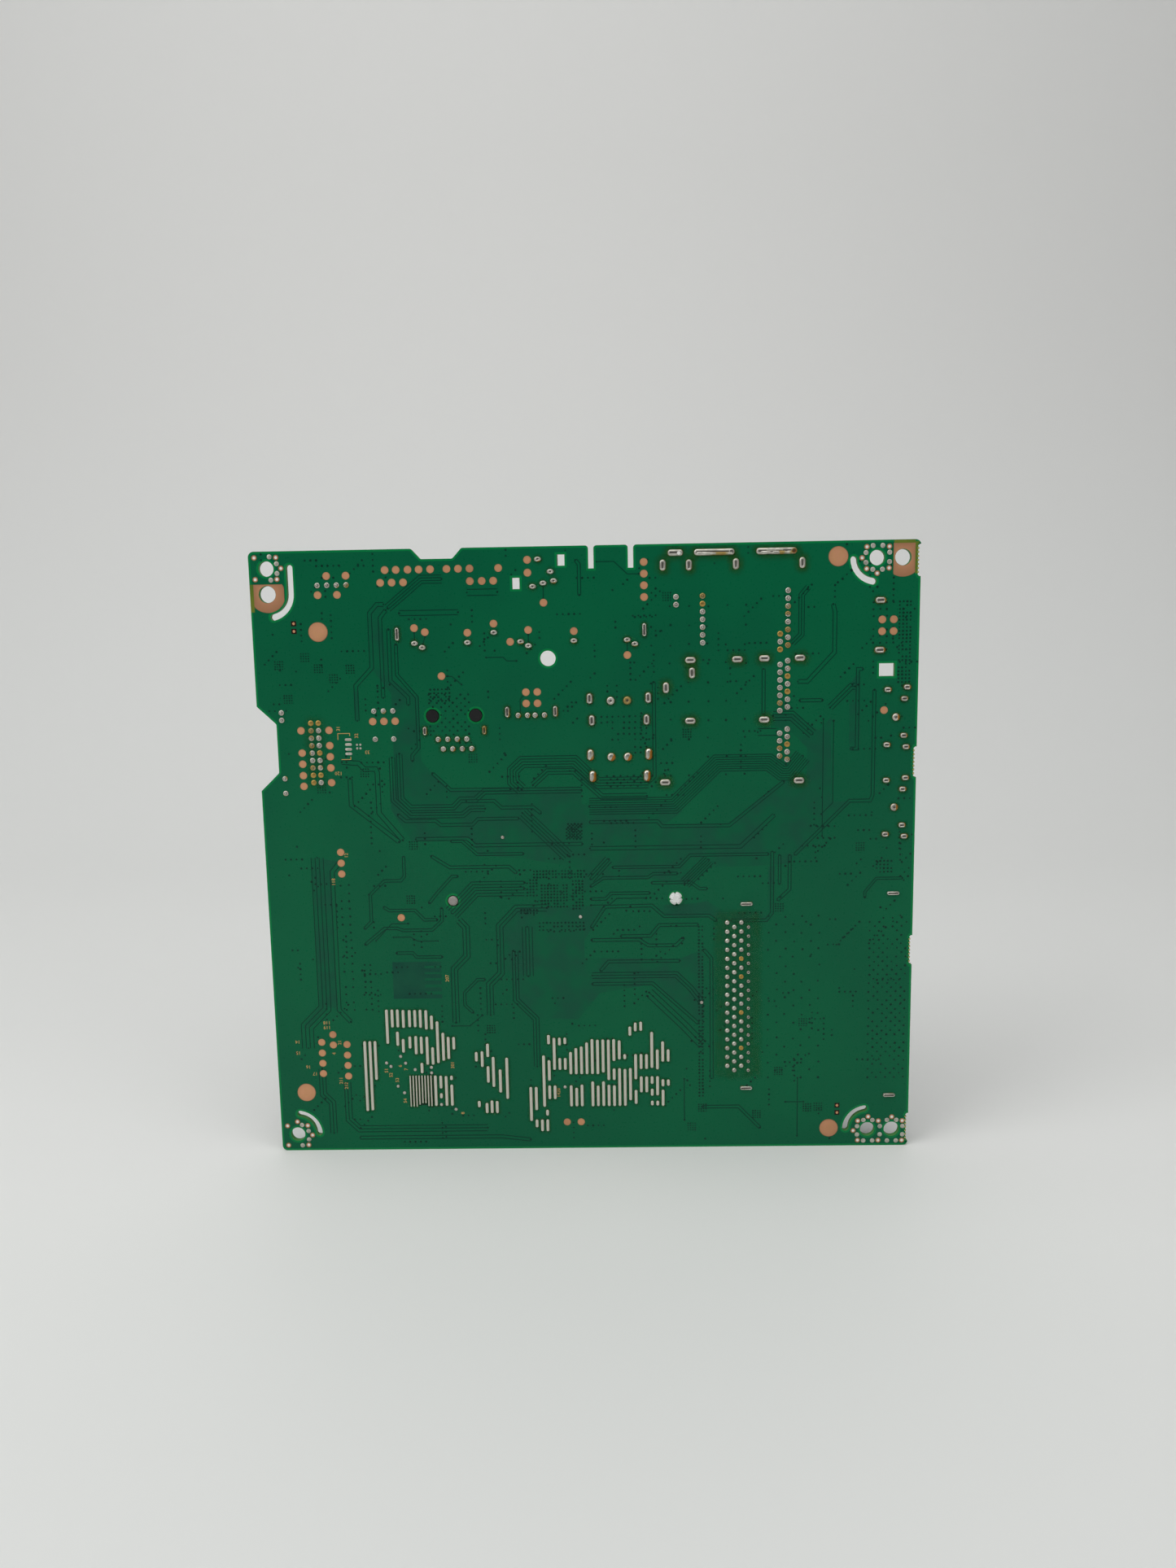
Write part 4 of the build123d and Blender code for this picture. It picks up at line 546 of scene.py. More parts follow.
def tin_finish(colours):
    """Dull solder coat on the copper strips, brown along the edges."""
    finish = Finish("tinned_copper", {"Metallic": 0.5})
    grain = finish.noise(1300, 2)
    runs = finish.noise(240, 2, (1, 1, 0.15))
    coat = finish.mix(grain.rise(0.3, 0.7) * 0.3, colours.tin, colours.steel)
    edge = finish.shade().rise(0.45, 1.0) * (0.45 + runs * 0.6)
    finish.feed("Base Color", finish.mix(edge, coat, colours.flux))
    finish.feed("Roughness", 0.4 + grain * 0.2)
    finish.bump(grain + runs, 0.3, 0.03)
    return finish.material


def haze_finish(colours):
    """Thin dried flux that fades out over the mask."""
    finish = Finish("flux_haze", {"IOR": 1.5, "Specular IOR Level": 0.2, "Base Color": (*colours.haze, 1.0)})
    clouds = finish.noise(420, 3)
    finish.feed("Alpha", finish.shade() * (0.3 + clouds.rise(0.3, 0.7) * 0.4))
    finish.feed("Roughness", 0.3 + clouds * 0.25)
    return finish.material


def metal_finish(name, shade, roughness, streak):
    """Plated or extruded metal with drawn streaks."""
    finish = Finish(name, {"Metallic": 1.0})
    drawn = finish.noise(400, 3, streak)
    spots = finish.noise(90, 2)
    duller = tuple(channel * 0.72 for channel in shade)
    finish.feed("Base Color", finish.mix(drawn.rise(0.35, 0.8) * 0.5 + spots * 0.15, shade, duller))
    finish.feed("Roughness", roughness + drawn * 0.15)
    finish.bump(drawn, 0.15, 0.01)
    return finish.material


def moulded_finish(name, shade, roughness):
    """Moulded plastic or resin with a fine sparked texture."""
    finish = Finish(name, {"IOR": 1.5, "Specular IOR Level": 0.3})
    spark = finish.noise(2200, 2)
    flow = finish.noise(70, 2)
    paler = tuple(channel * 0.8 + 0.012 for channel in shade)
    finish.feed("Base Color", finish.mix(flow.rise(0.35, 0.7) * 0.5, shade, paler))
    finish.feed("Roughness", roughness + spark * 0.15)
    finish.bump(spark, 0.25, 0.02)
    return finish.material


# Shapes, modelled on a flat board in metres


def flat_mesh():
    """An empty mesh with the two layers that finishes read: flux shade, and painted shade in the hollows."""
    bm = bmesh.new()
    bm.verts.layers.float.new("shade")
    bm.verts.layers.float.new("hollow")
    return bm


def spin_round(bm, line, ends, sides):
    """Join each vertex of a line to the end that follows it and spin the line once round."""
    edges = [bm.edges.new(pair) for pair in zip(line, ends)]
    bmesh.ops.spin(
        bm, geom=line + edges, axis=(0, 0, 1), cent=(0, 0, 0), angle=2 * math.pi, steps=sides, use_merge=True
    )


def heap(bm, radius, height, profile, spans=(0.0, 0.0), sides=12, lean=(0.0, 0.0), tint=0.0, sheet=False):
    """Spin the profile's (radius, height, shade, hollow) shares, pull the heap out by its spans and cap it.

    Lean shades the side it points to and tint the whole heap. A sheet stays open underneath.
    """
    layer = bm.verts.layers.float["shade"]
    hollows = bm.verts.layers.float["hollow"]
    first = math.pi / sides
    line = []
    for radius_share, height_share, shade, *hollow in profile:
        reach = radius * radius_share
        vert = bm.verts.new((reach * math.cos(first), reach * math.sin(first), height * height_share))
        vert[layer] = shade
        vert[hollows] = sum(hollow)
        line.append(vert)
    spin_round(bm, line, line[1:], sides)
    last = profile[-1][0] * radius + MERGE
    rims = [edge for edge in bm.edges if edge.is_boundary]
    if sheet:
        rims = [edge for edge in rims if edge.verts[0].co.xy.length < last]
    bmesh.ops.holes_fill(bm, edges=rims)
    for vert in bm.verts:
        side = vert.co.xy / radius
        vert[layer] = min(max(vert[layer], tint, side.x * lean[0] + side.y * lean[1]), 1.0)
        vert.co.x += math.copysign(spans[0] / 2, vert.co.x)
        vert.co.y += math.copysign(spans[1] / 2, vert.co.y)


def washer(bm, inner, outer, height, sides):
    """A closed flat ring: a small oblong spun once round."""
    layer = bm.verts.layers.float["shade"]
    corners = ((outer, 0.0, 1.0), (outer * 0.97, height, 0.6), (inner, height, 0.2), (inner, 0.0, 1.0))
    line = []
    for reach, lift, shade in corners:
        vert = bm.verts.new((reach, 0, lift))
        vert[layer] = shade
        line.append(vert)
    spin_round(bm, line, line[1:] + line[:1], sides)


def slab(bm, left, lower, right, upper, height):
    """A thin plate. Returns its corners."""
    middle = Matrix.Translation(((left + right) / 2, (lower + upper) / 2, height / 2))
    spread = Matrix.Diagonal((right - left, upper - lower, height, 1))
    return bmesh.ops.create_cube(bm, matrix=middle @ spread)["verts"]


def plates(bm, table, height):
    """A thin plate for each row of a table in millimetres: left, lower, right and upper edge."""
    for edges in table:
        slab(bm, *(edge * MM for edge in edges), height)


def boundary(bm):
    """The closed outlines of flat faces, each walked with the faces on its left."""
    ahead = {}
    for edge in bm.edges:
        if len(edge.link_loops) == 1:
            corner = edge.link_loops[0]
            ends = [corner.vert, corner.link_loop_next.vert]
            if corner.face.normal.z < 0:
                ends.reverse()
            ahead[ends[0]] = ends[1]
    outlines = []
    while ahead:
        first, after = ahead.popitem()
        walk = [first]
        while after is not first:
            if (after.co - walk[-1].co).length > 0.03 * MM:
                walk.append(after)
            after = ahead.pop(after)
        outlines.append([vert.co.xy.copy() for vert in walk])
    return outlines


def ribbon(bm, points, side, width, base=0.0, closed=False):
    """A flat strip beside a line of corners, mitred at each."""
    if closed:
        points = points + points[:1]
    runs = [(after - before).normalized() for before, after in zip(points, points[1:])]
    ends = []
    for number, point in enumerate(points):
        before = runs[number - 1 if closed else max(number - 1, 0)]
        after = runs[number % len(runs) if closed else min(number, len(runs) - 1)]
        across = Vector((-before.y - after.y, before.x + after.x)).normalized()
        reach = 1 / max(across.dot(Vector((-after.y, after.x))), 0.5)
        ends.append([point + across * reach * (side + edge * width / 2) for edge in (-1, 1)])
    pair = [bm.verts.new((*end, base)) for end in ends[0]]
    edge = bm.edges.new(pair)
    for left, right in ends[1:]:
        made = bmesh.ops.extrude_edge_only(bm, edges=[edge])["geom"]
        edge = next(item for item in made if isinstance(item, bmesh.types.BMEdge))
        pair = sorted(edge.verts, key=lambda vert: (vert.co.xy - left).length - (vert.co.xy - right).length)
        pair[0].co.xy = left
        pair[1].co.xy = right


def thicken(bm, height):
    """Make flat faces closed plates of that height."""
    raised = bmesh.ops.extrude_face_region(bm, geom=bm.faces[:], use_keep_orig=True)["geom"]
    verts = [item for item in raised if isinstance(item, bmesh.types.BMVert)]
    bmesh.ops.translate(bm, verts=verts, vec=(0, 0, height))


def stencil(draw):
    """A small mesh to stamp many times."""
    bm = flat_mesh()
    draw(bm)
    bmesh.ops.recalc_face_normals(bm, faces=bm.faces)
    mesh = bpy.data.meshes.new("stencil")
    bm.to_mesh(mesh)
    bm.free()
    return mesh


def stamp(bm, mesh, x, y, stretch=(1.0, 1.0, 1.0), turn=0.0):
    """Add one copy of a stencil."""
    copy = mesh.copy()
    spread = Matrix.Diagonal((*stretch, 1))
    copy.transform(Matrix.Translation((x, y, 0)) @ Matrix.Rotation(turn, 4, "Z") @ spread)
    bm.from_mesh(copy)
    bpy.data.meshes.remove(copy)


def scatter(bm, places, draw):
    """Stamp one shape at every place of a table in millimetres."""
    mesh = stencil(draw)
    for x, y in places:
        stamp(bm, mesh, x * MM, y * MM)
    bpy.data.meshes.remove(mesh)


def heaps(bm, places, *shape, **more):
    """Add the same heap at every place of a table in millimetres."""
    scatter(bm, places, lambda flat: heap(flat, *shape, **more))


def mound(bm, x, y, *shape, **more):
    """Add one heap at a place in metres."""
    mesh = stencil(lambda flat: heap(flat, *shape, **more))
    stamp(bm, mesh, x, y)
    bpy.data.meshes.remove(mesh)


def track_lines(sizes, routes, mirrored=False):
    """The dark lines beside the tracks, each route a trace higher than the last, so that none coincide."""
    bm = flat_mesh()
    for level, (count, pitch, corners) in enumerate(routes):
        points = [Vector(((board_width - x if mirrored else x) * MM, y * MM)) for x, y in corners]
        for number in range(count):
            side = (number - (count - 1) / 2) * pitch * MM
            ribbon(bm, points, side, sizes.track_gap, level * LEVEL_STEP)
    thicken(bm, sizes.track_lift)
    return bm


def settle(name, bm, materials, face=SOLDER_FACE, smooth=False, replaced=()):
    """Lay a flat mesh on the board and make it a piece."""
    bmesh.ops.recalc_face_normals(bm, faces=bm.faces)
    for item in bm.faces:
        item.smooth = smooth
    bm.transform(face)
    mesh = bpy.data.meshes.new(name)
    bm.to_mesh(mesh)
    bm.free()
    for material in materials:
        mesh.materials.append(material)
    piece = bpy.data.objects.new(name, mesh)
    bpy.context.scene.collection.objects.link(piece)
    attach(piece, "root")
    if replaced:
        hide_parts(*replaced)
    return piece


def islands(node):
    """Centre and size on the flat board of each separate solid of a node, in order."""
    bm = bmesh.new()
    bm.from_mesh(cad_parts[node].data)
    bmesh.ops.remove_doubles(bm, verts=bm.verts, dist=MERGE)
    bm.transform(SOLDER_FACE.inverted())
    waiting = set(bm.verts)
    found = []
    while waiting:
        reached = [waiting.pop()]
        for vert in reached:
            for edge in vert.link_edges:
                other = edge.other_vert(vert)
                if other in waiting:
                    waiting.remove(other)
                    reached.append(other)
        across = sorted(vert.co.x for vert in reached)
        along = sorted(vert.co.y for vert in reached)
        found.append((
            (across[0] + across[-1]) / 2, (along[0] + along[-1]) / 2,
            across[-1] - across[0], along[-1] - along[0],
        ))
    bm.free()
    return sorted(found)


def board_tree():
    """The board's surface, to ask whether a place has board under it."""
    bm = bmesh.new()
    bm.from_mesh(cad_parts["circuit_board"].data)
    tree = BVHTree.FromBMesh(bm)
    bm.free()
    return tree


def has_board(tree, x, y):
    """Whether a place on the flat board isn't over a hole."""
    start = SOLDER_FACE @ Vector((x, y, MM))
    return tree.ray_cast(start, Vector((0, 1, 0)), 2 * MM)[0] is not None


def near(places, x, y, reach):
    """Whether a place in metres lies near one of a table's places."""
    return any(math.hypot(x - left * MM, y - up * MM) < reach for left, up in places)


# Profiles of joints: shares of the radius and the height, flux, and painted shade in the hollows where there
# is any
lead_profile = (
    (1.0, 0.0, 1.0), (0.98, 0.2, 0.7), (0.82, 0.42, 0.1), (0.6, 0.52, 0.0), (0.5, 0.5, 0.0, 0.3),
    (0.42, 0.5, 0.0, 1.0), (0.32, 0.96, 0.0, 0.5), (0.12, 1.0, 0.0, 0.0),
)
eye_profile = (
    (1.0, 0.0, 1.0), (0.97, 0.25, 0.6), (0.8, 0.8, 0.0), (0.56, 1.0, 0.0), (0.4, 0.85, 0.0, 0.3),
    (0.26, 0.5, 0.0, 1.0), (0.1, 0.45, 0.0, 1.0),
)
dome_profile = (
    (1.0, 0.0, 1.0), (0.97, 0.2, 0.7), (0.84, 0.55, 0.15), (0.58, 0.84, 0.0), (0.24, 1.0, 0.0),
)
slot_profile = (
    (1.0, 0.0, 1.0), (0.95, 0.25, 0.7), (0.78, 0.72, 0.05), (0.56, 1.0, 0.0), (0.38, 0.9, 0.0, 0.25),
    (0.24, 0.5, 0.0, 1.0), (0.08, 0.45, 0.0, 1.0),
)
tab_profile = (
    (1.0, 0.0, 1.0), (0.95, 0.22, 0.75), (0.74, 0.62, 0.2), (0.46, 0.9, 0.0), (0.2, 1.0, 0.0),
)
end_profile = (
    (1.0, 0.0, 1.0), (1.0, 1.0, 1.0), (0.78, 1.0, 1.0, 0.2), (0.62, 0.94, 1.0, 1.0), (0.2, 0.94, 1.0, 1.0),
)
strip_profile = (
    (1.0, 0.0, 1.0), (0.98, 0.45, 0.9), (0.8, 0.85, 0.25), (0.4, 1.0, 0.0),
)
# The small dots have painted shade round their rims
dot_profile = ((1.0, 0.0, 0.0, 1.0), (0.86, 0.5, 0.0, 0.8), (0.74, 0.9, 0.0, 0.0), (0.3, 1.0, 0.0, 0.0))
pad_profile = ((1.0, 0.0, 1.0), (0.98, 0.8, 0.9), (0.92, 1.0, 0.15), (0.5, 1.0, 0.0))
disc_profile = ((1, 0, 0), (1, 1, 0))


class MAINBOARD_OT_finish_board(bpy.types.Operator):
    """Paint the laminate and add the clear border round its outline and holes, its green painted brighter to
    stand in for light shining through the laminate from behind
    """

    bl_idname = "mainboard.finish_board"
    bl_label = "Finish board"

    def execute(self, context):
        sizes, colours = context.scene.board_sizes, context.scene.board_colours
        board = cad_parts["circuit_board"]
        board.data.materials.clear()
        board.data.materials.append(mask_finish(colours))
        bm = bmesh.new()
        bm.from_mesh(board.data)
        bmesh.ops.remove_doubles(bm, verts=bm.verts, dist=MERGE)
        bm.transform(SOLDER_FACE.inverted())
        others = [item for item in bm.faces if max(abs(vert.co.z) for vert in item.verts) > MERGE]
        bmesh.ops.delete(bm, geom=others, context="FACES")
        outlines = boundary(bm)
        bm.free()
        border = flat_mesh()
        for outline in outlines:
            ribbon(border, outline, sizes.rim_width / 2, sizes.rim_width, closed=True)
        thicken(border, sizes.bed_lift)
        # A border with no copper behind its mask, really a lighter green, painted brighter still as if lit
        # through the laminate from behind
        material = masked_finish("backlit_border", colours.rim, colours.rim)
        settle("backlit_border", border, [material])
        return {"FINISHED"}


class MAINBOARD_OT_lay_tracks(bpy.types.Operator):
    """Lay the dull beds of fine tracks and the dark lines beside the wider ones"""

    bl_idname = "mainboard.lay_tracks"
    bl_label = "Lay tracks"

    # The block of the dark comb lies lower than its bars
    block_share = 0.6

    def execute(self, context):
        sizes, colours = context.scene.board_sizes, context.scene.board_colours
        beds = flat_mesh()
        for outline in track_beds:
            beds.faces.new([beds.verts.new((x * MM, y * MM, 0)) for x, y in outline])
        beds.normal_update()
        bmesh.ops.triangulate(beds, faces=beds.faces[:])
        thicken(beds, sizes.bed_lift)
        bed = masked_finish("track_bed", colours.mask_bed, colours.mask_shade)
        settle("track_beds", beds, [bed])

        comb = flat_mesh()
        plates(comb, shadow_bars, sizes.bed_lift)
        plates(comb, (shadow_block,), sizes.bed_lift * self.block_share)
        dark = masked_finish("shadow_comb", colours.comb, colours.mask_bed)
        settle("shadow_comb", comb, [dark])

        line = masked_finish("track_line", colours.mask_line, colours.mask_line)
        settle("track_lines", track_lines(sizes, tracks), [line])
        return {"FINISHED"}


class MAINBOARD_OT_drill_vias(bpy.types.Operator):
    """Dot both faces with covered vias"""

    bl_idname = "mainboard.drill_vias"
    bl_label = "Drill vias"

    seed = 11
    dot_shape = ((1, 0, 1), (0.9, 1, 0))
    dot_sides = 8
    dot_shares = (0.75, 1.1)
    # In a field: how far a via strays as a share of the pitch, and the share that is left out
    stray = 0.05
    left_out = 0.1
    # In a thermal grid: vias to a side, their pitch, and their size beside the others
    grid_count = 4
    grid_pitch = 0.66
    grid_share = 0.75
    # In a short row: distance from the board's edges, the steps to choose from, the most vias
    edge_gap = 2
    row_steps = ((1.5, 0.0), (0.0, 1.5), (1.1, 1.1))
    row_count = 5

    def field_places(self, draw):
        """Vias of the fields, a little uneven and with gaps."""
        places = []
        for left, lower, right, upper, pitch, staggered in via_fields:
            rise = pitch / 2 if staggered else pitch
            for row in range(int((upper - lower) / rise) + 1):
                step = pitch / 2 if staggered and row % 2 else 0
                for column in range(int((right - left - step) / pitch) + 1):
                    x = left + step + (column + draw.uniform(-self.stray, self.stray)) * pitch
                    y = lower + row * rise + draw.uniform(-self.stray, self.stray) * pitch
                    if draw.random() > self.left_out:
                        places.append((x, y))
        return places

    def row_places(self, draw, count):
        """Vias of the short rows over the whole board."""
        places = []
        for _ in range(count):
            x = draw.uniform(self.edge_gap, board_width - self.edge_gap)
            y = draw.uniform(self.edge_gap, board_height - self.edge_gap)
            across, up = draw.choice(self.row_steps)
            places += [(x + step * across, y + step * up) for step in range(draw.randint(1, self.row_count))]
        return places

    def execute(self, context):
        sizes, colours = context.scene.board_sizes, context.scene.board_colours
        draw = random.Random(self.seed)
        tree = board_tree()
        steps_out = [(step - (self.grid_count - 1) / 2) * self.grid_pitch for step in range(self.grid_count)]
        fine = [(x + side, y + up) for x, y in thermal_grids for up in steps_out for side in steps_out]
        places = self.field_places(draw)
        for *_, corners in tracks:
            places += [corners[0], corners[-1]]
        places += self.row_places(draw, sizes.via_rows)

        radius = sizes.via_diameter / 2
        rim = ((-radius, 0), (radius, 0), (0, -radius), (0, radius))
        dot = stencil(lambda bm: heap(bm, radius, sizes.via_lift, self.dot_shape, sides=self.dot_sides))
        solder_side, component_side = flat_mesh(), flat_mesh()
        for number, (x, y) in enumerate(fine + places):
            if all(has_board(tree, x * MM + side, y * MM + up) for side, up in rim):
                share = draw.uniform(*self.dot_shares) * (self.grid_share if number < len(fine) else 1.0)
                stamp(solder_side, dot, x * MM, y * MM, (share, share, share))
                stamp(component_side, dot, (board_width - x) * MM, y * MM, (share, share, share))
        bpy.data.meshes.remove(dot)
        material = masked_finish("covered_via", colours.via, colours.mask_line)
        settle("solder_side_vias", solder_side, [material])
        settle("component_side_vias", component_side, [material], COMPONENT_FACE)
        return {"FINISHED"}


class MAINBOARD_OT_plate_copper(bpy.types.Operator):
    """Add the bare copper: test pads, large pads, earth lands and the rings round the screws"""

    bl_idname = "mainboard.plate_copper"
    bl_label = "Plate copper"

    land_sides = 64
    # Torn fibres in a break-off edge: their numbers from its middle, reach inwards, half their width
    fibre_steps = range(-3, 4)
    fibre_reach = 0.45
    fibre_half = 0.16
    # A twin pad: half the side of its dark well, radius of its copper
    well_half = 0.68
    twin_radius = 0.38

    def execute(self, context):
        sizes, colours = context.scene.board_sizes, context.scene.board_colours
        copper = copper_finish(colours)
        lift = sizes.pad_lift
        pads = flat_mesh()
        places = [(x, y) for y, row in pad_rows for x in row]
        places += [(x, y) for x, column in pad_columns for y in column]
        heaps(pads, places, sizes.pad_diameter / 2, lift, pad_profile, sides=28)
        heaps(pads, large_pads, sizes.large_pad_diameter / 2, lift, pad_profile, sides=48)
        settle("copper_pads", pads, [copper])

        lands = flat_mesh()
        for place, hole, land, limits in earth_lands:
            scatter(lands, (place,), lambda bm: washer(bm, hole * MM, land * MM, lift, self.land_sides))
            left, right, lower, upper = (limit * MM for limit in limits)
            for vert in lands.verts[-4 * self.land_sides:]:
                vert.co.x = min(max(vert.co.x, left), right)
                vert.co.y = min(max(vert.co.y, lower), upper)
        settle("earth_lands", lands, [copper])

        strips = flat_mesh()
        plates(strips, bare_strips, sizes.track_lift)
        bare = masked_finish("bare_laminate", tone(112, 122, 44), tone(86, 112, 40))
        settle("bare_strips", strips, [bare])

        fibres = flat_mesh()
        right = board_width - break_depth
        middles = [
            share * board_height + step * bite_pitch for share in break_shares for step in self.fibre_steps
        ]
        left, half = right - self.fibre_reach, self.fibre_half
        plates(fibres, [(left, middle - half, right, middle + half) for middle in middles], sizes.number_lift)
        torn = masked_finish("broken_fibre", tone(204, 196, 132), tone(176, 172, 98))
        settle("broken_fibres", fibres, [torn])

        rings, bores = flat_mesh(), flat_mesh()
        inner, outer = sizes.ring_hole / 2, sizes.ring_diameter / 2
        scatter(rings, open_rings, lambda bm: washer(bm, inner, outer, lift, 20))
        settle("hole_rings", rings, [copper])
        heaps(bores, open_rings, inner, sizes.track_lift, disc_profile, sides=16)
        light = moulded_finish("lit_bore", colours.lit, 0.4)
        settle("ring_bores", bores, [light])

        wells, dots = flat_mesh(), flat_mesh()
        half = self.well_half
        plates(wells, [(x - half, y - half, x + half, y + half) for x, y in twin_pads], sizes.track_lift)
        heaps(dots, twin_pads, self.twin_radius * MM, lift, pad_profile, sides=16)
        well = masked_finish("dark_well", tone(34, 14, 13), tone(26, 12, 12))
        settle("twin_pad_wells", wells, [well])
        settle("twin_pads", dots, [copper])
        return {"FINISHED"}


class MAINBOARD_OT_tin_strips(bpy.types.Operator):
    """Model the solder-coated copper strips"""

    bl_idname = "mainboard.tin_strips"
    bl_label = "Tin strips"

    # Half the width of a coat as a share of its strip's width
    coat_share = 0.43

    def execute(self, context):
        sizes, colours = context.scene.board_sizes, context.scene.board_colours
        low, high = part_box("tinned_strips")
        coats = flat_mesh()
        for x, y, width, height in islands("tinned_strips"):
            spans = (0.0, max(height - width, 0.0))
            mound(coats, x, y, width * self.coat_share, high.y - low.y, strip_profile, spans)
        tin = tin_finish(colours)
        settle("strip_coats", coats, [tin], smooth=True, replaced=("tinned_strips",))
        gaps = flat_mesh()
        plates(gaps, (fine_gaps,), sizes.bed_lift)
        dark = masked_finish("strip_gap", tone(10, 50, 42), colours.via)
        settle("strip_gaps", gaps, [dark])
        return {"FINISHED"}


class MAINBOARD_OT_solder_joints(bpy.types.Operator):
    """Model every solder joint from the place and size of its solid"""

    bl_idname = "mainboard.solder_joints"
    bl_label = "Solder joints"

    joint_seed = 7
    lump_seed = 31
    # The card slot's last column took little solder, and the rails of the tuner can are this long
    dry_column = 130.0
    dry_share = 0.74
    rail_length = 8.0
    # The end of a tuner slot that no solder filled
    open_end = (112.4, 163.3)
    open_radius = 0.5
    open_share = 0.8
    # A joint this much longer than it is wide is an oblong, with these shares of its width and height
    oblong_share = 1.22
    oblong_reach_share = 0.46
    drowned_reach_share = 0.5
    oblong_height_share = 0.74
    # Heights of round joints as shares of their solid's: plated pins, joints with a lead, all others
    plated_share, lead_share, round_share = 0.35, 1.0, 0.6
    gold_reach = 0.7
    # Flux on a tinted joint and on the burnt lumps of a rail, which are its lower ones past the first four
    tint = 0.62
    burnt_tint = 0.64
    burnt_from = 4
    # Lumps of a rail: how many, then shares of its width and height: stray, radius, height and length of each
    lump_count = 8
    lump_stray = 0.2
    lump_radii, lump_heights, lump_lengths = (0.2, 0.3), (0.78, 0.96), (0.4, 0.9)
    # Hollow end of a rail: radius and height as shares of its width and height
    end_shares = (0.36, 0.78)
    # Filled holes round the screws: radius as a share of the ring, height
    filled_share = 0.46
    filled_height = 0.12
    # Small solder: its places, radius, height, profile and how far it is pulled out sideways
    small_solder = (
        (solder_dots, 0.5, 0.22, dot_profile, 0.0),
        (chip_pads, 0.36, 0.1, tab_profile, 1.1),
        (mini_pads, 0.3, 0.1, tab_profile, 0.0),
    )
    # Each node: its piece, profile of a round joint, flux, relief,
    # then its stretch, the side with flux and the share of tinted joints
    groups = (
        ("solder_header_pins", "header_joints", lead_profile, 0.5, 0.03,
         (0.82, 0.82, 0.7), (0.0, 0.0), 0.5),
        ("solder_av_jacks", "jack_joints", eye_profile, 0.4, 0.03,
         (1.05, 0.74, 1.0), (0.2, -0.9), 0.1),
        ("solder_lan_data", "lan_joints", lead_profile, 0.6, 0.03,
         (0.88, 0.88, 0.8), (0.9, -0.5), 0.06),
        ("solder_video_rear", "rear_port_joints", eye_profile, 1.0, 0.03,
         (0.98, 0.98, 1.0), (2.5, -1.3), 0.2),
        ("solder_tuner_tabs", "tuner_tab_joints", eye_profile, 0.6, 0.14,
         (1.0, 1.0, 1.0), (0.5, -0.2), 0.0),
        ("solder_tuner_pins", "tuner_pin_joints", lead_profile, 0.5, 0.03,
         (0.92, 0.92, 0.7), (0.4, -0.5), 0.26),
        ("solder_side_ports", "side_port_joints", eye_profile, 0.9, 0.03,
         (0.92, 0.92, 1.0), (1.5, 0.0), 0.08),
        ("solder_card_slot", "card_slot_joints", dome_profile, 0.4, 0.03,
         (0.9, 0.9, 1.0), (0.3, -0.2), 0.0),
    )

    def lump_rail(self, bm, x, y, short, span, height, draw):
        """The hollow right end of a rail of the tuner can, its hole a flat disc with painted shade, and the
        lumps frozen along it.
        """
        mound(bm, x + span / 2, y, short * self.end_shares[0], height * self.end_shares[1], end_profile)
        stray = self.lump_stray
        for number in range(self.lump_count):
            along = ((number + 1) / (self.lump_count + 1) - 0.5) * span + draw.uniform(-stray, stray) * short
            above = draw.choice((-stray, stray)) * short
            burnt = self.burnt_tint if above < 0 and number >= self.burnt_from else 0.0
            mound(
                bm, x + along, y + above, short * draw.uniform(*self.lump_radii),
                height * draw.uniform(*self.lump_heights), dome_profile,
                (short * draw.uniform(*self.lump_lengths), 0.0), tint=burnt,
            )

    def execute(self, context):
        sizes, colours = context.scene.board_sizes, context.scene.board_colours
        gold = metal_finish("gold_flash", colours.gold, 0.3, (1, 1, 1))
        draw, lumps = random.Random(self.joint_seed), random.Random(self.lump_seed)
        for node, name, profile, flux_share, relief, stretch, lean, tinted in self.groups:
            low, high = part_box(node)
            height = high.y - low.y
            middle = (SOLDER_FACE.inverted() @ ((low + high) / 2)).y
            bm = flat_mesh()
            for x, y, width, length_up in islands(node):
                # Only the lower of the two rear sockets has its joints half drowned in flux
                drowned = node == "solder_video_rear" and y < middle
                side = (0.0, 0.0) if node == "solder_video_rear" and not drowned else lean
                tint = self.tint if draw.random() < tinted and not drowned else 0.0
                short, long = sorted((width, length_up))
                if long > short * self.oblong_share:
                    spans = (max(width - short, 0), max(length_up - short, 0))
                    shape = tab_profile if drowned else slot_profile
                    radius = short * (self.drowned_reach_share if drowned else self.oblong_reach_share)
                    mound(bm, x, y, radius, height * self.oblong_height_share, shape, spans, 16, side, tint)
                    if long > self.rail_length * MM:
                        self.lump_rail(bm, x, y, short, spans[0], height, lumps)
                    continue
                plated = near(gold_pins, x, y, self.gold_reach * MM)
                dry = node == "solder_card_slot" and x > self.dry_column * MM
                radius = long / 2 * (self.dry_share if dry else 1.0)
                shape = eye_profile if dry else dome_profile if plated or drowned else profile
                rise = self.lead_share if profile is lead_profile else self.round_share
                rise = height * (self.plated_share if plated else rise)
                joint = stencil(lambda flat: heap(flat, radius, rise, shape, lean=side, tint=tint))
                for polygon in joint.polygons:
                    polygon.material_index = 1 if plated else 0
                stamp(bm, joint, x, y, stretch)
                bpy.data.meshes.remove(joint)
            solder = solder_finish(name + "_solder", colours, flux_share, relief)
            settle(name, bm, [solder, gold], smooth=True, replaced=(node,))

        low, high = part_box("solder_tuner_tabs")
        lit = flat_mesh()
        rise = (high.y - low.y) * self.open_share
        heaps(lit, (self.open_end,), self.open_radius * MM, rise, pad_profile, sides=20)
        light = moulded_finish("lit_end", colours.lit, 0.4)
        settle("lit_slot_end", lit, [light])

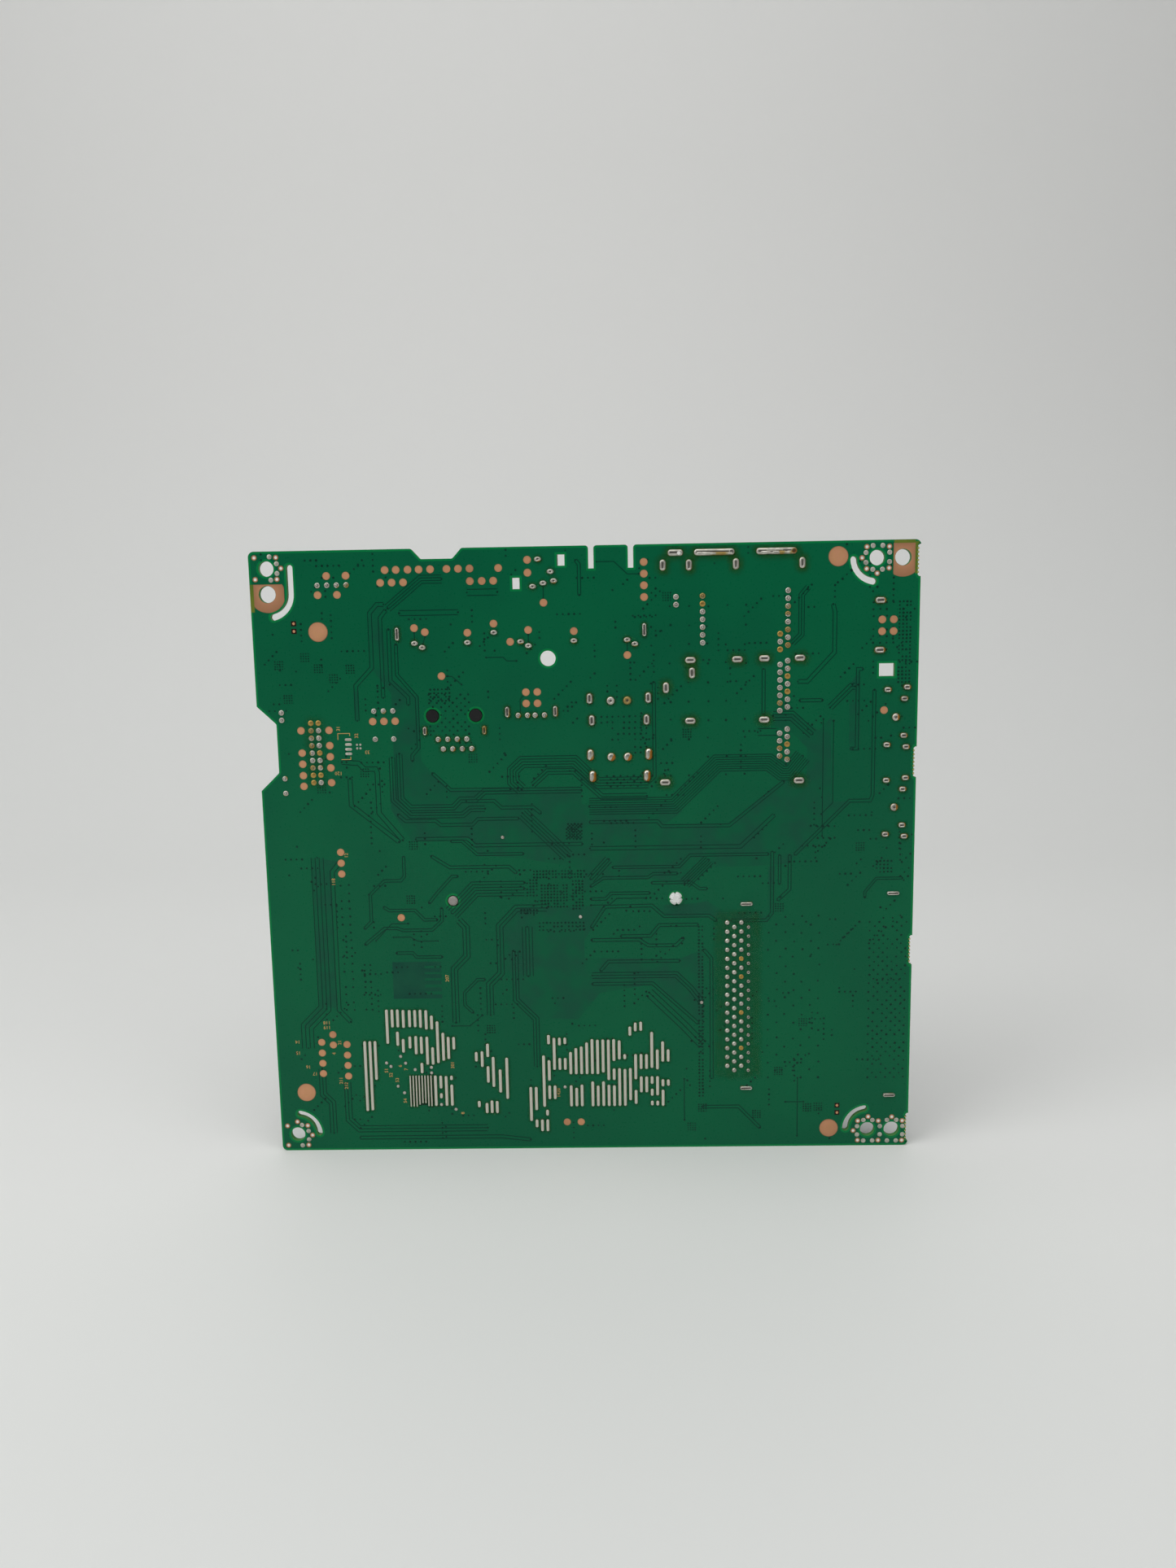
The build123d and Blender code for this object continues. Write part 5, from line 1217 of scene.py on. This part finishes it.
        extra = flat_mesh()
        radius = sizes.ring_diameter * self.filled_share
        heaps(extra, filled_rings, radius, self.filled_height * MM, dome_profile, sides=16)
        for places, radius, height, profile, span in self.small_solder:
            heaps(extra, places, radius * MM, height * MM, profile, (span * MM, 0.0))
        solder = solder_finish("dot_solder", colours, 0.2, 0.02, 0.42)
        settle("solder_dots", extra, [solder], smooth=True)
        return {"FINISHED"}


class MAINBOARD_OT_spread_flux(bpy.types.Operator):
    """Spread the thin flux haze round the hand-soldered joints and the strips"""

    bl_idname = "mainboard.spread_flux"
    bl_label = "Spread flux"

    # Each node: how far its haze spreads as a share of the full reach, and how strong it is
    nodes = (
        ("solder_tuner_tabs", 0.9, 0.9), ("solder_video_rear", 0.45, 0.6), ("solder_lan_data", 0.4, 0.7),
        ("solder_side_ports", 0.4, 0.6), ("solder_av_jacks", 0.4, 0.6), ("tinned_strips", 0.4, 0.6),
    )
    # The joints of the card slot and of the power header: left, lower, right and upper edge, then their haze
    fields = ((122.2, 20.6, 133.4, 67.0), (13.2, 103.6, 17.2, 121.5))
    field_haze = (0.8, 0.35)
    # A sheet wider than this is pulled out, and is this strong halfway to its edge as a share of its middle
    widest = 2
    edge_share = 0.4
    # The sheets lie over the vias, in so many levels one step apart
    lift_share = 1.2
    levels = 40

    def execute(self, context):
        sizes, colours = context.scene.board_sizes, context.scene.board_colours
        bm = flat_mesh()
        spots = [(*place, share, power) for node, share, power in self.nodes for place in islands(node)]
        for left, lower, right, upper in self.fields:
            middle = ((left + right) / 2 * MM, (lower + upper) / 2 * MM)
            spots.append((*middle, (right - left) * MM, (upper - lower) * MM, *self.field_haze))
        for level, (x, y, width, length_up, share, power) in enumerate(spots):
            short = min(width, length_up, self.widest * MM)
            spans = (max(width - short, 0), max(length_up - short, 0))
            reach = sizes.haze_reach * share
            lift = sizes.via_lift * self.lift_share + 2 * LEVEL_STEP * (level % self.levels)
            core = short / 2 / (short / 2 + reach)
            fade = ((1.0, 1.0, 0.0), ((1 + core) / 2, 1.0, self.edge_share * power), (core, 1.0, power))
            mound(bm, x, y, short / 2 + reach, lift, fade, spans, 16, sheet=True)
        margin = sizes.rim_width
        for vert in bm.verts:
            vert.co.x = min(max(vert.co.x, margin), board_width * MM - margin)
            vert.co.y = min(max(vert.co.y, margin), board_height * MM - margin)
        settle("flux_haze", bm, [haze_finish(colours)])
        return {"FINISHED"}


class MAINBOARD_OT_print_numbers(bpy.types.Operator):
    """Print plain numbers and the outline of the small chip"""

    bl_idname = "mainboard.print_numbers"
    bl_label = "Print numbers"

    # Size of the text as a share of the height of a numeral
    text_share = 1.35
    line = 0.16
    # Lines round the small chip: left, lower, right and upper edge
    chip_lines = (
        (21.2, 117.6, 24.4, 117.6 + line), (24.4, 117.0, 24.4 + line, 117.6 + line),
        (21.2, 116.0, 21.2 + line, 117.6), (22.0, 110.6, 24.4, 110.6 + line),
        (24.4, 110.6, 24.4 + line, 111.4),
    )

    def execute(self, context):
        sizes, colours = context.scene.board_sizes, context.scene.board_colours
        bm = flat_mesh()
        for x, y, turn, text in numbers:
            curve = bpy.data.curves.new("number", "FONT")
            curve.body = text
            curve.size = sizes.number_height * self.text_share
            curve.extrude = sizes.number_lift / 2
            curve.resolution_u = 2
            curve.align_x = "CENTER"
            curve.align_y = "CENTER"
            holder = bpy.data.objects.new("number", curve)
            mesh = bpy.data.meshes.new_from_object(holder)
            mesh.transform(Matrix.Translation((0, 0, sizes.number_lift / 2)))
            stamp(bm, mesh, x * MM, y * MM, turn=math.radians(turn))
            bpy.data.objects.remove(holder)
            bpy.data.curves.remove(curve)
            bpy.data.meshes.remove(mesh)
        plates(bm, self.chip_lines, sizes.number_lift)
        ink = moulded_finish("gold_ink", colours.ink, 0.45)
        settle("printed_numbers", bm, [ink])
        return {"FINISHED"}


class MAINBOARD_OT_press_pin(bpy.types.Operator):
    """Model the barbed push pin, with four notches in its spread tip"""

    bl_idname = "mainboard.press_pin"
    bl_label = "Press pin"

    # Thickness and chamfer of the head, then the radii of shaft, barb and crown
    head_thickness = 1.6 * MM
    head_chamfer = 0.3 * MM
    shaft, barb, crown = 1.3 * MM, 1.75 * MM, 1.0 * MM
    # A notch in each quarter: its width in degrees, and how far it draws in
    notch_turn = 16
    notch_share = 0.74

    def execute(self, context):
        low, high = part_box("push_pin_right")
        head = (high.x - low.x) / 2
        tip = board_low.y - low.y
        foot = board_low.y - high.y
        seat = foot + self.head_thickness
        shaft, barb, crown = self.shaft, self.barb, self.crown
        outline = (
            (head * 0.3, foot, 0), (head * 0.9, foot, 0), (head, foot + self.head_chamfer, 0),
            (head, seat, 0), (shaft, seat, 0), (shaft, 0, 0), (barb, 0, 0), (barb, tip * 0.5, 0),
            (barb * 0.8, tip * 0.85, 0), (crown, tip, 0), (crown * 0.3, tip, 0),
        )
        mesh = stencil(lambda bm: heap(bm, 1.0, 1.0, outline, sides=24))
        for vert in mesh.vertices:
            turn = math.degrees(math.atan2(vert.co.y, vert.co.x)) % 90
            if vert.co.z > -MERGE and vert.co.xy.length > crown * 0.9 and turn < self.notch_turn:
                vert.co.xy *= self.notch_share
        bm = flat_mesh()
        middle = SOLDER_FACE.inverted() @ ((low + high) / 2)
        stamp(bm, mesh, middle.x, middle.y)
        bpy.data.meshes.remove(mesh)
        nylon = moulded_finish("white_nylon", tone(232, 234, 230), 0.4)
        settle("barbed_pin", bm, [nylon], replaced=("push_pin_right",))
        return {"FINISHED"}


class MAINBOARD_OT_dress_component_side(bpy.types.Operator):
    """Print outlines round the parts on the component side and seat the small chips between them"""

    bl_idname = "mainboard.dress_component_side"
    bl_label = "Dress component side"

    outlined = (
        "tuner_frame", "av_housing", "phone_jack_body", "optical_jack_body", "lan_housing", "card_slot_cage",
        "data_rear_shell", "data_side_shell", "power_header_shroud", "speaker_header_shroud", "heat_sink",
        "video_rear_upper_shell", "video_rear_lower_shell", "video_side_upper_shell",
        "video_side_lower_shell",
    )
    # Nodes of several parts, which take up room part by part, and the shields over the last of them
    several = ("memory_chips", "regulator_chips", "power_coils", "panel_connector_housings")
    shields = "panel_connector_shields"
    # Width of a printed line, its distance from a part and from the board's edges, lowest part it goes round
    line, margin, edge, lowest = 0.2 * MM, 0.5 * MM, 1.2 * MM, 0.1 * MM
    # Small chips: groups of up to so many, their distance from the board's edges in millimetres, their step
    seed = 23
    group_count, chip_count, edge_gap, chip_step = 170, 6, 4, 1.9 * MM
    # Half a chip's length and width, its height, then its end caps: share of the length, lap, height
    half_long, half_short, chip_height = 0.8 * MM, 0.42 * MM, 0.42 * MM
    cap_share, cap_lap, cap_height = 0.45, 0.01 * MM, 0.44 * MM
    tan_share = 0.6

    def print_outlines(self, lift):
        """Printed frames round the outlined parts. Returns them with the room that all parts take up."""
        line, margin, edge = self.line, self.margin, self.edge
        back = COMPONENT_FACE.inverted()
        prints = flat_mesh()
        taken = []
        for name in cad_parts:
            low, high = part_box(name)
            if name == "circuit_board" or high.y < board_high.y + self.lowest:
                continue
            first, second = back @ low, back @ high
            left, right = sorted((first.x, second.x))
            lower, upper = sorted((first.y, second.y))
            if name not in self.several + (self.shields,):
                taken.append((left, lower, right, upper))
            if name in self.outlined:
                left, right = max(left - margin, edge), min(right + margin, board_width * MM - edge)
                lower, upper = max(lower - margin, edge), min(upper + margin, board_height * MM - edge)
                slab(prints, left, lower, right, lower + line, lift)
                slab(prints, left, upper - line, right, upper, lift)
                slab(prints, left, lower + line, left + line, upper - line, lift)
                slab(prints, right - line, lower + line, right, upper - line, lift)
        for name in self.several:
            for x, y, width, height in islands(name):
                middle = board_width * MM - x
                taken.append((middle - width / 2, y - height / 2, middle + width / 2, y + height / 2))
        return prints, taken

    def chip_seats(self, draw):
        """Places of the small chips, in short rows, and whether each lies across the board."""
        seats = []
        for _ in range(self.group_count):
            x = draw.uniform(self.edge_gap, board_width - self.edge_gap) * MM
            y = draw.uniform(self.edge_gap, board_height - self.edge_gap) * MM
            flat = draw.random() < 0.5
            for number in range(draw.randint(1, self.chip_count)):
                step = number * self.chip_step
                seats.append((x + step * (not flat), y + step * flat, flat))
        return seats

    def block(self, bm, x, y, wide, tall, height, finish):
        """One block of a chip from its middle and half its sides."""
        for vert in slab(bm, x - wide, y - tall, x + wide, y + tall, height):
            for face in vert.link_faces:
                face.material_index = finish

    def seat_chips(self, taken):
        """Small chips wherever the board is free: black, capped ends, tan."""
        draw = random.Random(self.seed)
        tree = board_tree()
        chips = flat_mesh()
        away = self.half_long * (1 - self.cap_share)
        for x, y, flat in self.chip_seats(draw):
            long, short = self.half_long, self.half_short
            wide, tall = (long, short) if flat else (short, long)
            left, right = x - wide - self.margin, x + wide + self.margin
            lower, upper = y - tall - self.margin, y + tall + self.margin
            spots = ((left, lower), (left, upper), (right, lower), (right, upper), (x, y))
            if not all(has_board(tree, board_width * MM - side, up) for side, up in spots):
                continue
            if any(left < box[2] and right > box[0] and lower < box[3] and upper > box[1] for box in taken):
                continue
            taken.append((left, lower, right, upper))
            self.block(chips, x, y, wide, tall, self.chip_height, 2 if draw.random() < self.tan_share else 0)
            long, short = long * self.cap_share, short + self.cap_lap
            wide, tall = (long, short) if flat else (short, long)
            for step in (-away, away):
                self.block(chips, x + step * flat, y + step * (not flat), wide, tall, self.cap_height, 1)
        return chips

    def execute(self, context):
        sizes, colours = context.scene.board_sizes, context.scene.board_colours
        prints, taken = self.print_outlines(sizes.number_lift)
        ink = moulded_finish("white_ink", tone(226, 228, 222), 0.5)
        settle("component_outlines", prints, [ink], COMPONENT_FACE)
        black = moulded_finish("chip_black", tone(22, 22, 24), 0.4)
        ends = metal_finish("chip_ends", colours.solder, 0.3, (1, 1, 1))
        tan = moulded_finish("chip_tan", tone(150, 112, 72), 0.45)
        settle("small_chips", self.seat_chips(taken), [black, ends, tan], COMPONENT_FACE)
        lines = track_lines(sizes, tracks[::2], mirrored=True)
        trace = masked_finish("component_line", colours.mask_line, colours.mask_line)
        settle("component_side_lines", lines, [trace], COMPONENT_FACE)
        return {"FINISHED"}


class MAINBOARD_OT_finish_parts(bpy.types.Operator):
    """Give every connector, chip, pin and shield its finish"""

    bl_idname = "mainboard.finish_parts"
    bl_label = "Finish parts"

    def execute(self, context):
        colours = context.scene.board_colours
        steel = metal_finish("tin_plated_sheet", colours.steel, 0.26, (1, 1, 8))
        nickel = metal_finish("bright_nickel", colours.nickel, 0.16, (1, 1, 1))
        gold = metal_finish("gold_contact", colours.gold, 0.24, (1, 1, 1))
        fins = metal_finish("extruded_fins", colours.aluminium, 0.38, (0.1, 4, 4))
        black = moulded_finish("black_moulding", tone(14, 14, 15), 0.42)
        ivory = moulded_finish("ivory_moulding", colours.ivory, 0.45)
        white = moulded_finish("white_moulding", tone(232, 232, 228), 0.4)
        resin = moulded_finish("chip_resin", colours.resin, 0.55)
        inner = masked_finish("inner_board", tone(8, 92, 52), tone(4, 70, 44))
        shells = tuple(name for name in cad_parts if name.endswith("_shell"))
        tongues = tuple(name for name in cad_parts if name.endswith("_tongue"))
        finishes = (
            (steel, ("tuner_frame", "tuner_lid", "card_slot_cage", "lan_shield", "panel_connector_shields")),
            (nickel, ("antenna_socket", "satellite_socket", "av_shells", "phone_jack_bush") + shells),
            (gold, ("lan_contacts", "card_slot_pins", "power_header_pins", "speaker_header_pins")),
            (fins, ("heat_sink",)),
            (black, ("av_housing", "phone_jack_body", "optical_jack_body", "lan_housing",
                     "card_slot_header") + tongues),
            (ivory, ("power_header_shroud", "speaker_header_shroud", "panel_connector_housings")),
            (white, ("rf_insulators", "av_insert_white", "push_pin_right")),
            (resin, ("processor", "memory_chips", "regulator_chips")),
            (inner, ("tuner_inner_board",)),
            (moulded_finish("grey_nylon", tone(150, 146, 140), 0.45), ("push_pin_left",)),
            (moulded_finish("green_insert", tone(34, 130, 62), 0.38), ("av_insert_green",)),
            (moulded_finish("blue_insert", tone(32, 74, 160), 0.38), ("av_insert_blue",)),
            (moulded_finish("red_insert", tone(176, 34, 30), 0.38), ("av_inserts_red",)),
            (moulded_finish("red_lens", tone(140, 24, 28), 0.18), ("optical_jack_emitter",)),
            (moulded_finish("ferrite_case", tone(70, 70, 72), 0.5), ("power_coils",)),
            (moulded_finish("heat_pad", tone(138, 158, 178), 0.6), ("thermal_pad",)),
        )
        for material, names in finishes:
            for name in names:
                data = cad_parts[name].data
                data.materials.clear()
                data.materials.append(material)
        return {"FINISHED"}


class MAINBOARD_OT_set_stage(bpy.types.Operator):
    """Lay the paper sweep, hang the lights and set the camera"""

    bl_idname = "mainboard.set_stage"
    bl_label = "Set stage"

    # The camera's place in millimetres, its right and up directions, lens and sensor
    camera_place = Vector((9.99, -311.3, 66.55))
    camera_right = Vector((0.99968, 0.01773, -0.01787))
    camera_up = Vector((0.01505, 0.14792, 0.98888))
    camera_lens = 27.03
    camera_sensor = 36.0
    # Each light: name, place, aim, width, height, power
    lights = (
        ("overhead", (-0.1, -0.35, 1.25), (0.0, 0.1, -0.08), 1.6, 1.4, 12.8),
        ("left_window", (-1.1, -0.75, 0.75), (0.0, 0.0, 0.0), 1.0, 1.2, 7.2),
        ("right_fill", (1.2, -0.9, 0.6), (0.0, 0.0, 0.0), 0.9, 1.0, 3.4),
    )
    # The paper in metres: its width, near edge, wall, the wall's height and the fold between floor and wall
    paper_width, paper_near, paper_wall, paper_top, paper_fold = 4.0, -1.8, 0.95, 2.4, 0.6
    fold_segments = 24
    # Heights over which the paper's painted light passes from the paler floor to the darker wall, and where
    # the paper thins out to the sides and to the front
    floor_to_wall_shade = (0.02, 0.5)
    side_fade = (0.8, 1.7)
    front_fade = (-1.5, -0.7)
    air_colour = (0.93, 0.95, 1.0, 1.0)
    air_strength = 0.14
    seen_strength = 0.8

    def lay_paper(self, scene):
        """A sweep of pale paper. Out of the photograph's view it thins out, so that no edge shows."""
        colours = scene.board_colours
        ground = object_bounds()[0].z
        left, wall = -self.paper_width / 2, self.paper_wall
        bm = bmesh.new()
        top = ground + self.paper_top
        corners = ((left, self.paper_near, ground), (left, wall, ground), (left, wall, top))
        verts = [bm.verts.new(corner) for corner in corners]
        edges = [bm.edges.new(pair) for pair in zip(verts, verts[1:])]
        swept = bmesh.ops.extrude_edge_only(bm, edges=edges)["geom"]
        moved = [item for item in swept if isinstance(item, bmesh.types.BMVert)]
        bmesh.ops.translate(bm, verts=moved, vec=(self.paper_width, 0, 0))
        fold = [
            edge for edge in bm.edges
            if all(abs(vert.co.y - wall) < MM and abs(vert.co.z - ground) < MM for vert in edge.verts)
        ]
        bmesh.ops.bevel(
            bm, geom=fold, offset=self.paper_fold, offset_type="OFFSET", affect="EDGES",
            segments=self.fold_segments, profile=0.5, material=-1,
        )
        bmesh.ops.recalc_face_normals(bm, faces=bm.faces)
        for face in bm.faces:
            face.smooth = True
        mesh = bpy.data.meshes.new("paper_sweep")
        bm.to_mesh(mesh)
        bm.free()
        sweep = bpy.data.objects.new("paper_sweep", mesh)
        scene.collection.objects.link(sweep)
        paper = Finish("pale_paper", {"Roughness": 0.55})
        # Painted light: one paper, paler on the floor than on the wall, as the overhead light falls more on
        # the floor
        floor_to_wall_shade = (paper.axis("Z") - ground).rise(*self.floor_to_wall_shade)
        paper.feed("Base Color", paper.mix(floor_to_wall_shade, colours.floor, colours.wall))
        across = paper.axis("X")
        aside = across.math("ABSOLUTE", across).rise(*self.side_fade)
        paper.feed("Alpha", (1 - aside) * paper.axis("Y").rise(*self.front_fade))
        mesh.materials.append(paper.material)
        sweep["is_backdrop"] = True

    def hang_lights(self, scene):
        """Three soft lights, each turned to its aim."""
        for name, place, aim, width, height, power in self.lights:
            lamp = bpy.data.lights.new(name, "AREA")
            lamp.shape = "RECTANGLE"
            lamp.size = width
            lamp.size_y = height
            lamp.energy = power
            holder = bpy.data.objects.new(name, lamp)
            holder.location = place
            holder.rotation_euler = (Vector(aim) - Vector(place)).to_track_quat("-Z", "Y").to_euler()
            scene.collection.objects.link(holder)

    def fill_air(self, scene):
        """Dim light from all round. Past the paper other views see pale air, which lights nothing."""
        world = bpy.data.worlds.new("studio")
        world.use_nodes = True
        nodes, links = world.node_tree.nodes, world.node_tree.links
        air = nodes["Background"]
        air.inputs["Color"].default_value = self.air_colour
        air.inputs["Strength"].default_value = self.air_strength
        seen = nodes.new("ShaderNodeBackground")
        seen.inputs["Color"].default_value = (*scene.board_colours.wall, 1.0)
        seen.inputs["Strength"].default_value = self.seen_strength
        rays = nodes.new("ShaderNodeLightPath")
        blend = nodes.new("ShaderNodeMixShader")
        links.new(rays.outputs["Is Camera Ray"], blend.inputs["Fac"])
        links.new(air.outputs["Background"], blend.inputs[1])
        links.new(seen.outputs["Background"], blend.inputs[2])
        links.new(blend.outputs["Shader"], nodes["World Output"].inputs["Surface"])
        scene.world = world

    def aim_camera(self, scene):
        """The view of the photograph."""
        data = bpy.data.cameras.new("photo_view")
        data.lens = self.camera_lens
        data.sensor_width = self.camera_sensor
        camera = bpy.data.objects.new("photo_view", data)
        back = self.camera_right.cross(self.camera_up)
        axes = Matrix((self.camera_right, self.camera_up, back)).transposed().to_4x4()
        camera.matrix_world = Matrix.Translation(self.camera_place * MM) @ axes
        scene.collection.objects.link(camera)
        scene.camera = camera

    def execute(self, context):
        scene = context.scene
        self.lay_paper(scene)
        self.hang_lights(scene)
        self.fill_air(scene)
        self.aim_camera(scene)
        scene.view_settings.view_transform = "Standard"
        return {"FINISHED"}


steps = (
    MAINBOARD_OT_finish_board, MAINBOARD_OT_lay_tracks, MAINBOARD_OT_drill_vias,
    MAINBOARD_OT_plate_copper, MAINBOARD_OT_tin_strips, MAINBOARD_OT_solder_joints,
    MAINBOARD_OT_spread_flux, MAINBOARD_OT_print_numbers, MAINBOARD_OT_press_pin,
    MAINBOARD_OT_dress_component_side, MAINBOARD_OT_finish_parts, MAINBOARD_OT_set_stage,
)


class MAINBOARD_PT_sidebar(bpy.types.Panel):
    """Every step of the board, in order"""

    bl_idname = "MAINBOARD_PT_sidebar"
    bl_label = "Main board"
    bl_space_type = "VIEW_3D"
    bl_region_type = "UI"
    bl_category = "Main board"

    def draw(self, context):
        for step in steps:
            self.layout.operator(step.bl_idname)


classes = (BoardSizes, BoardColours, *steps, MAINBOARD_PT_sidebar)


def register():
    for item in classes:
        bpy.utils.register_class(item)
    bpy.types.Scene.board_sizes = PointerProperty(type=BoardSizes)
    bpy.types.Scene.board_colours = PointerProperty(type=BoardColours)


def unregister():
    del bpy.types.Scene.board_colours
    del bpy.types.Scene.board_sizes
    for item in reversed(classes):
        bpy.utils.unregister_class(item)


def main():
    register()
    for step in steps:
        group, name = step.bl_idname.split(".")
        getattr(getattr(bpy.ops, group), name)()


if __name__ == "__main__":
    main()
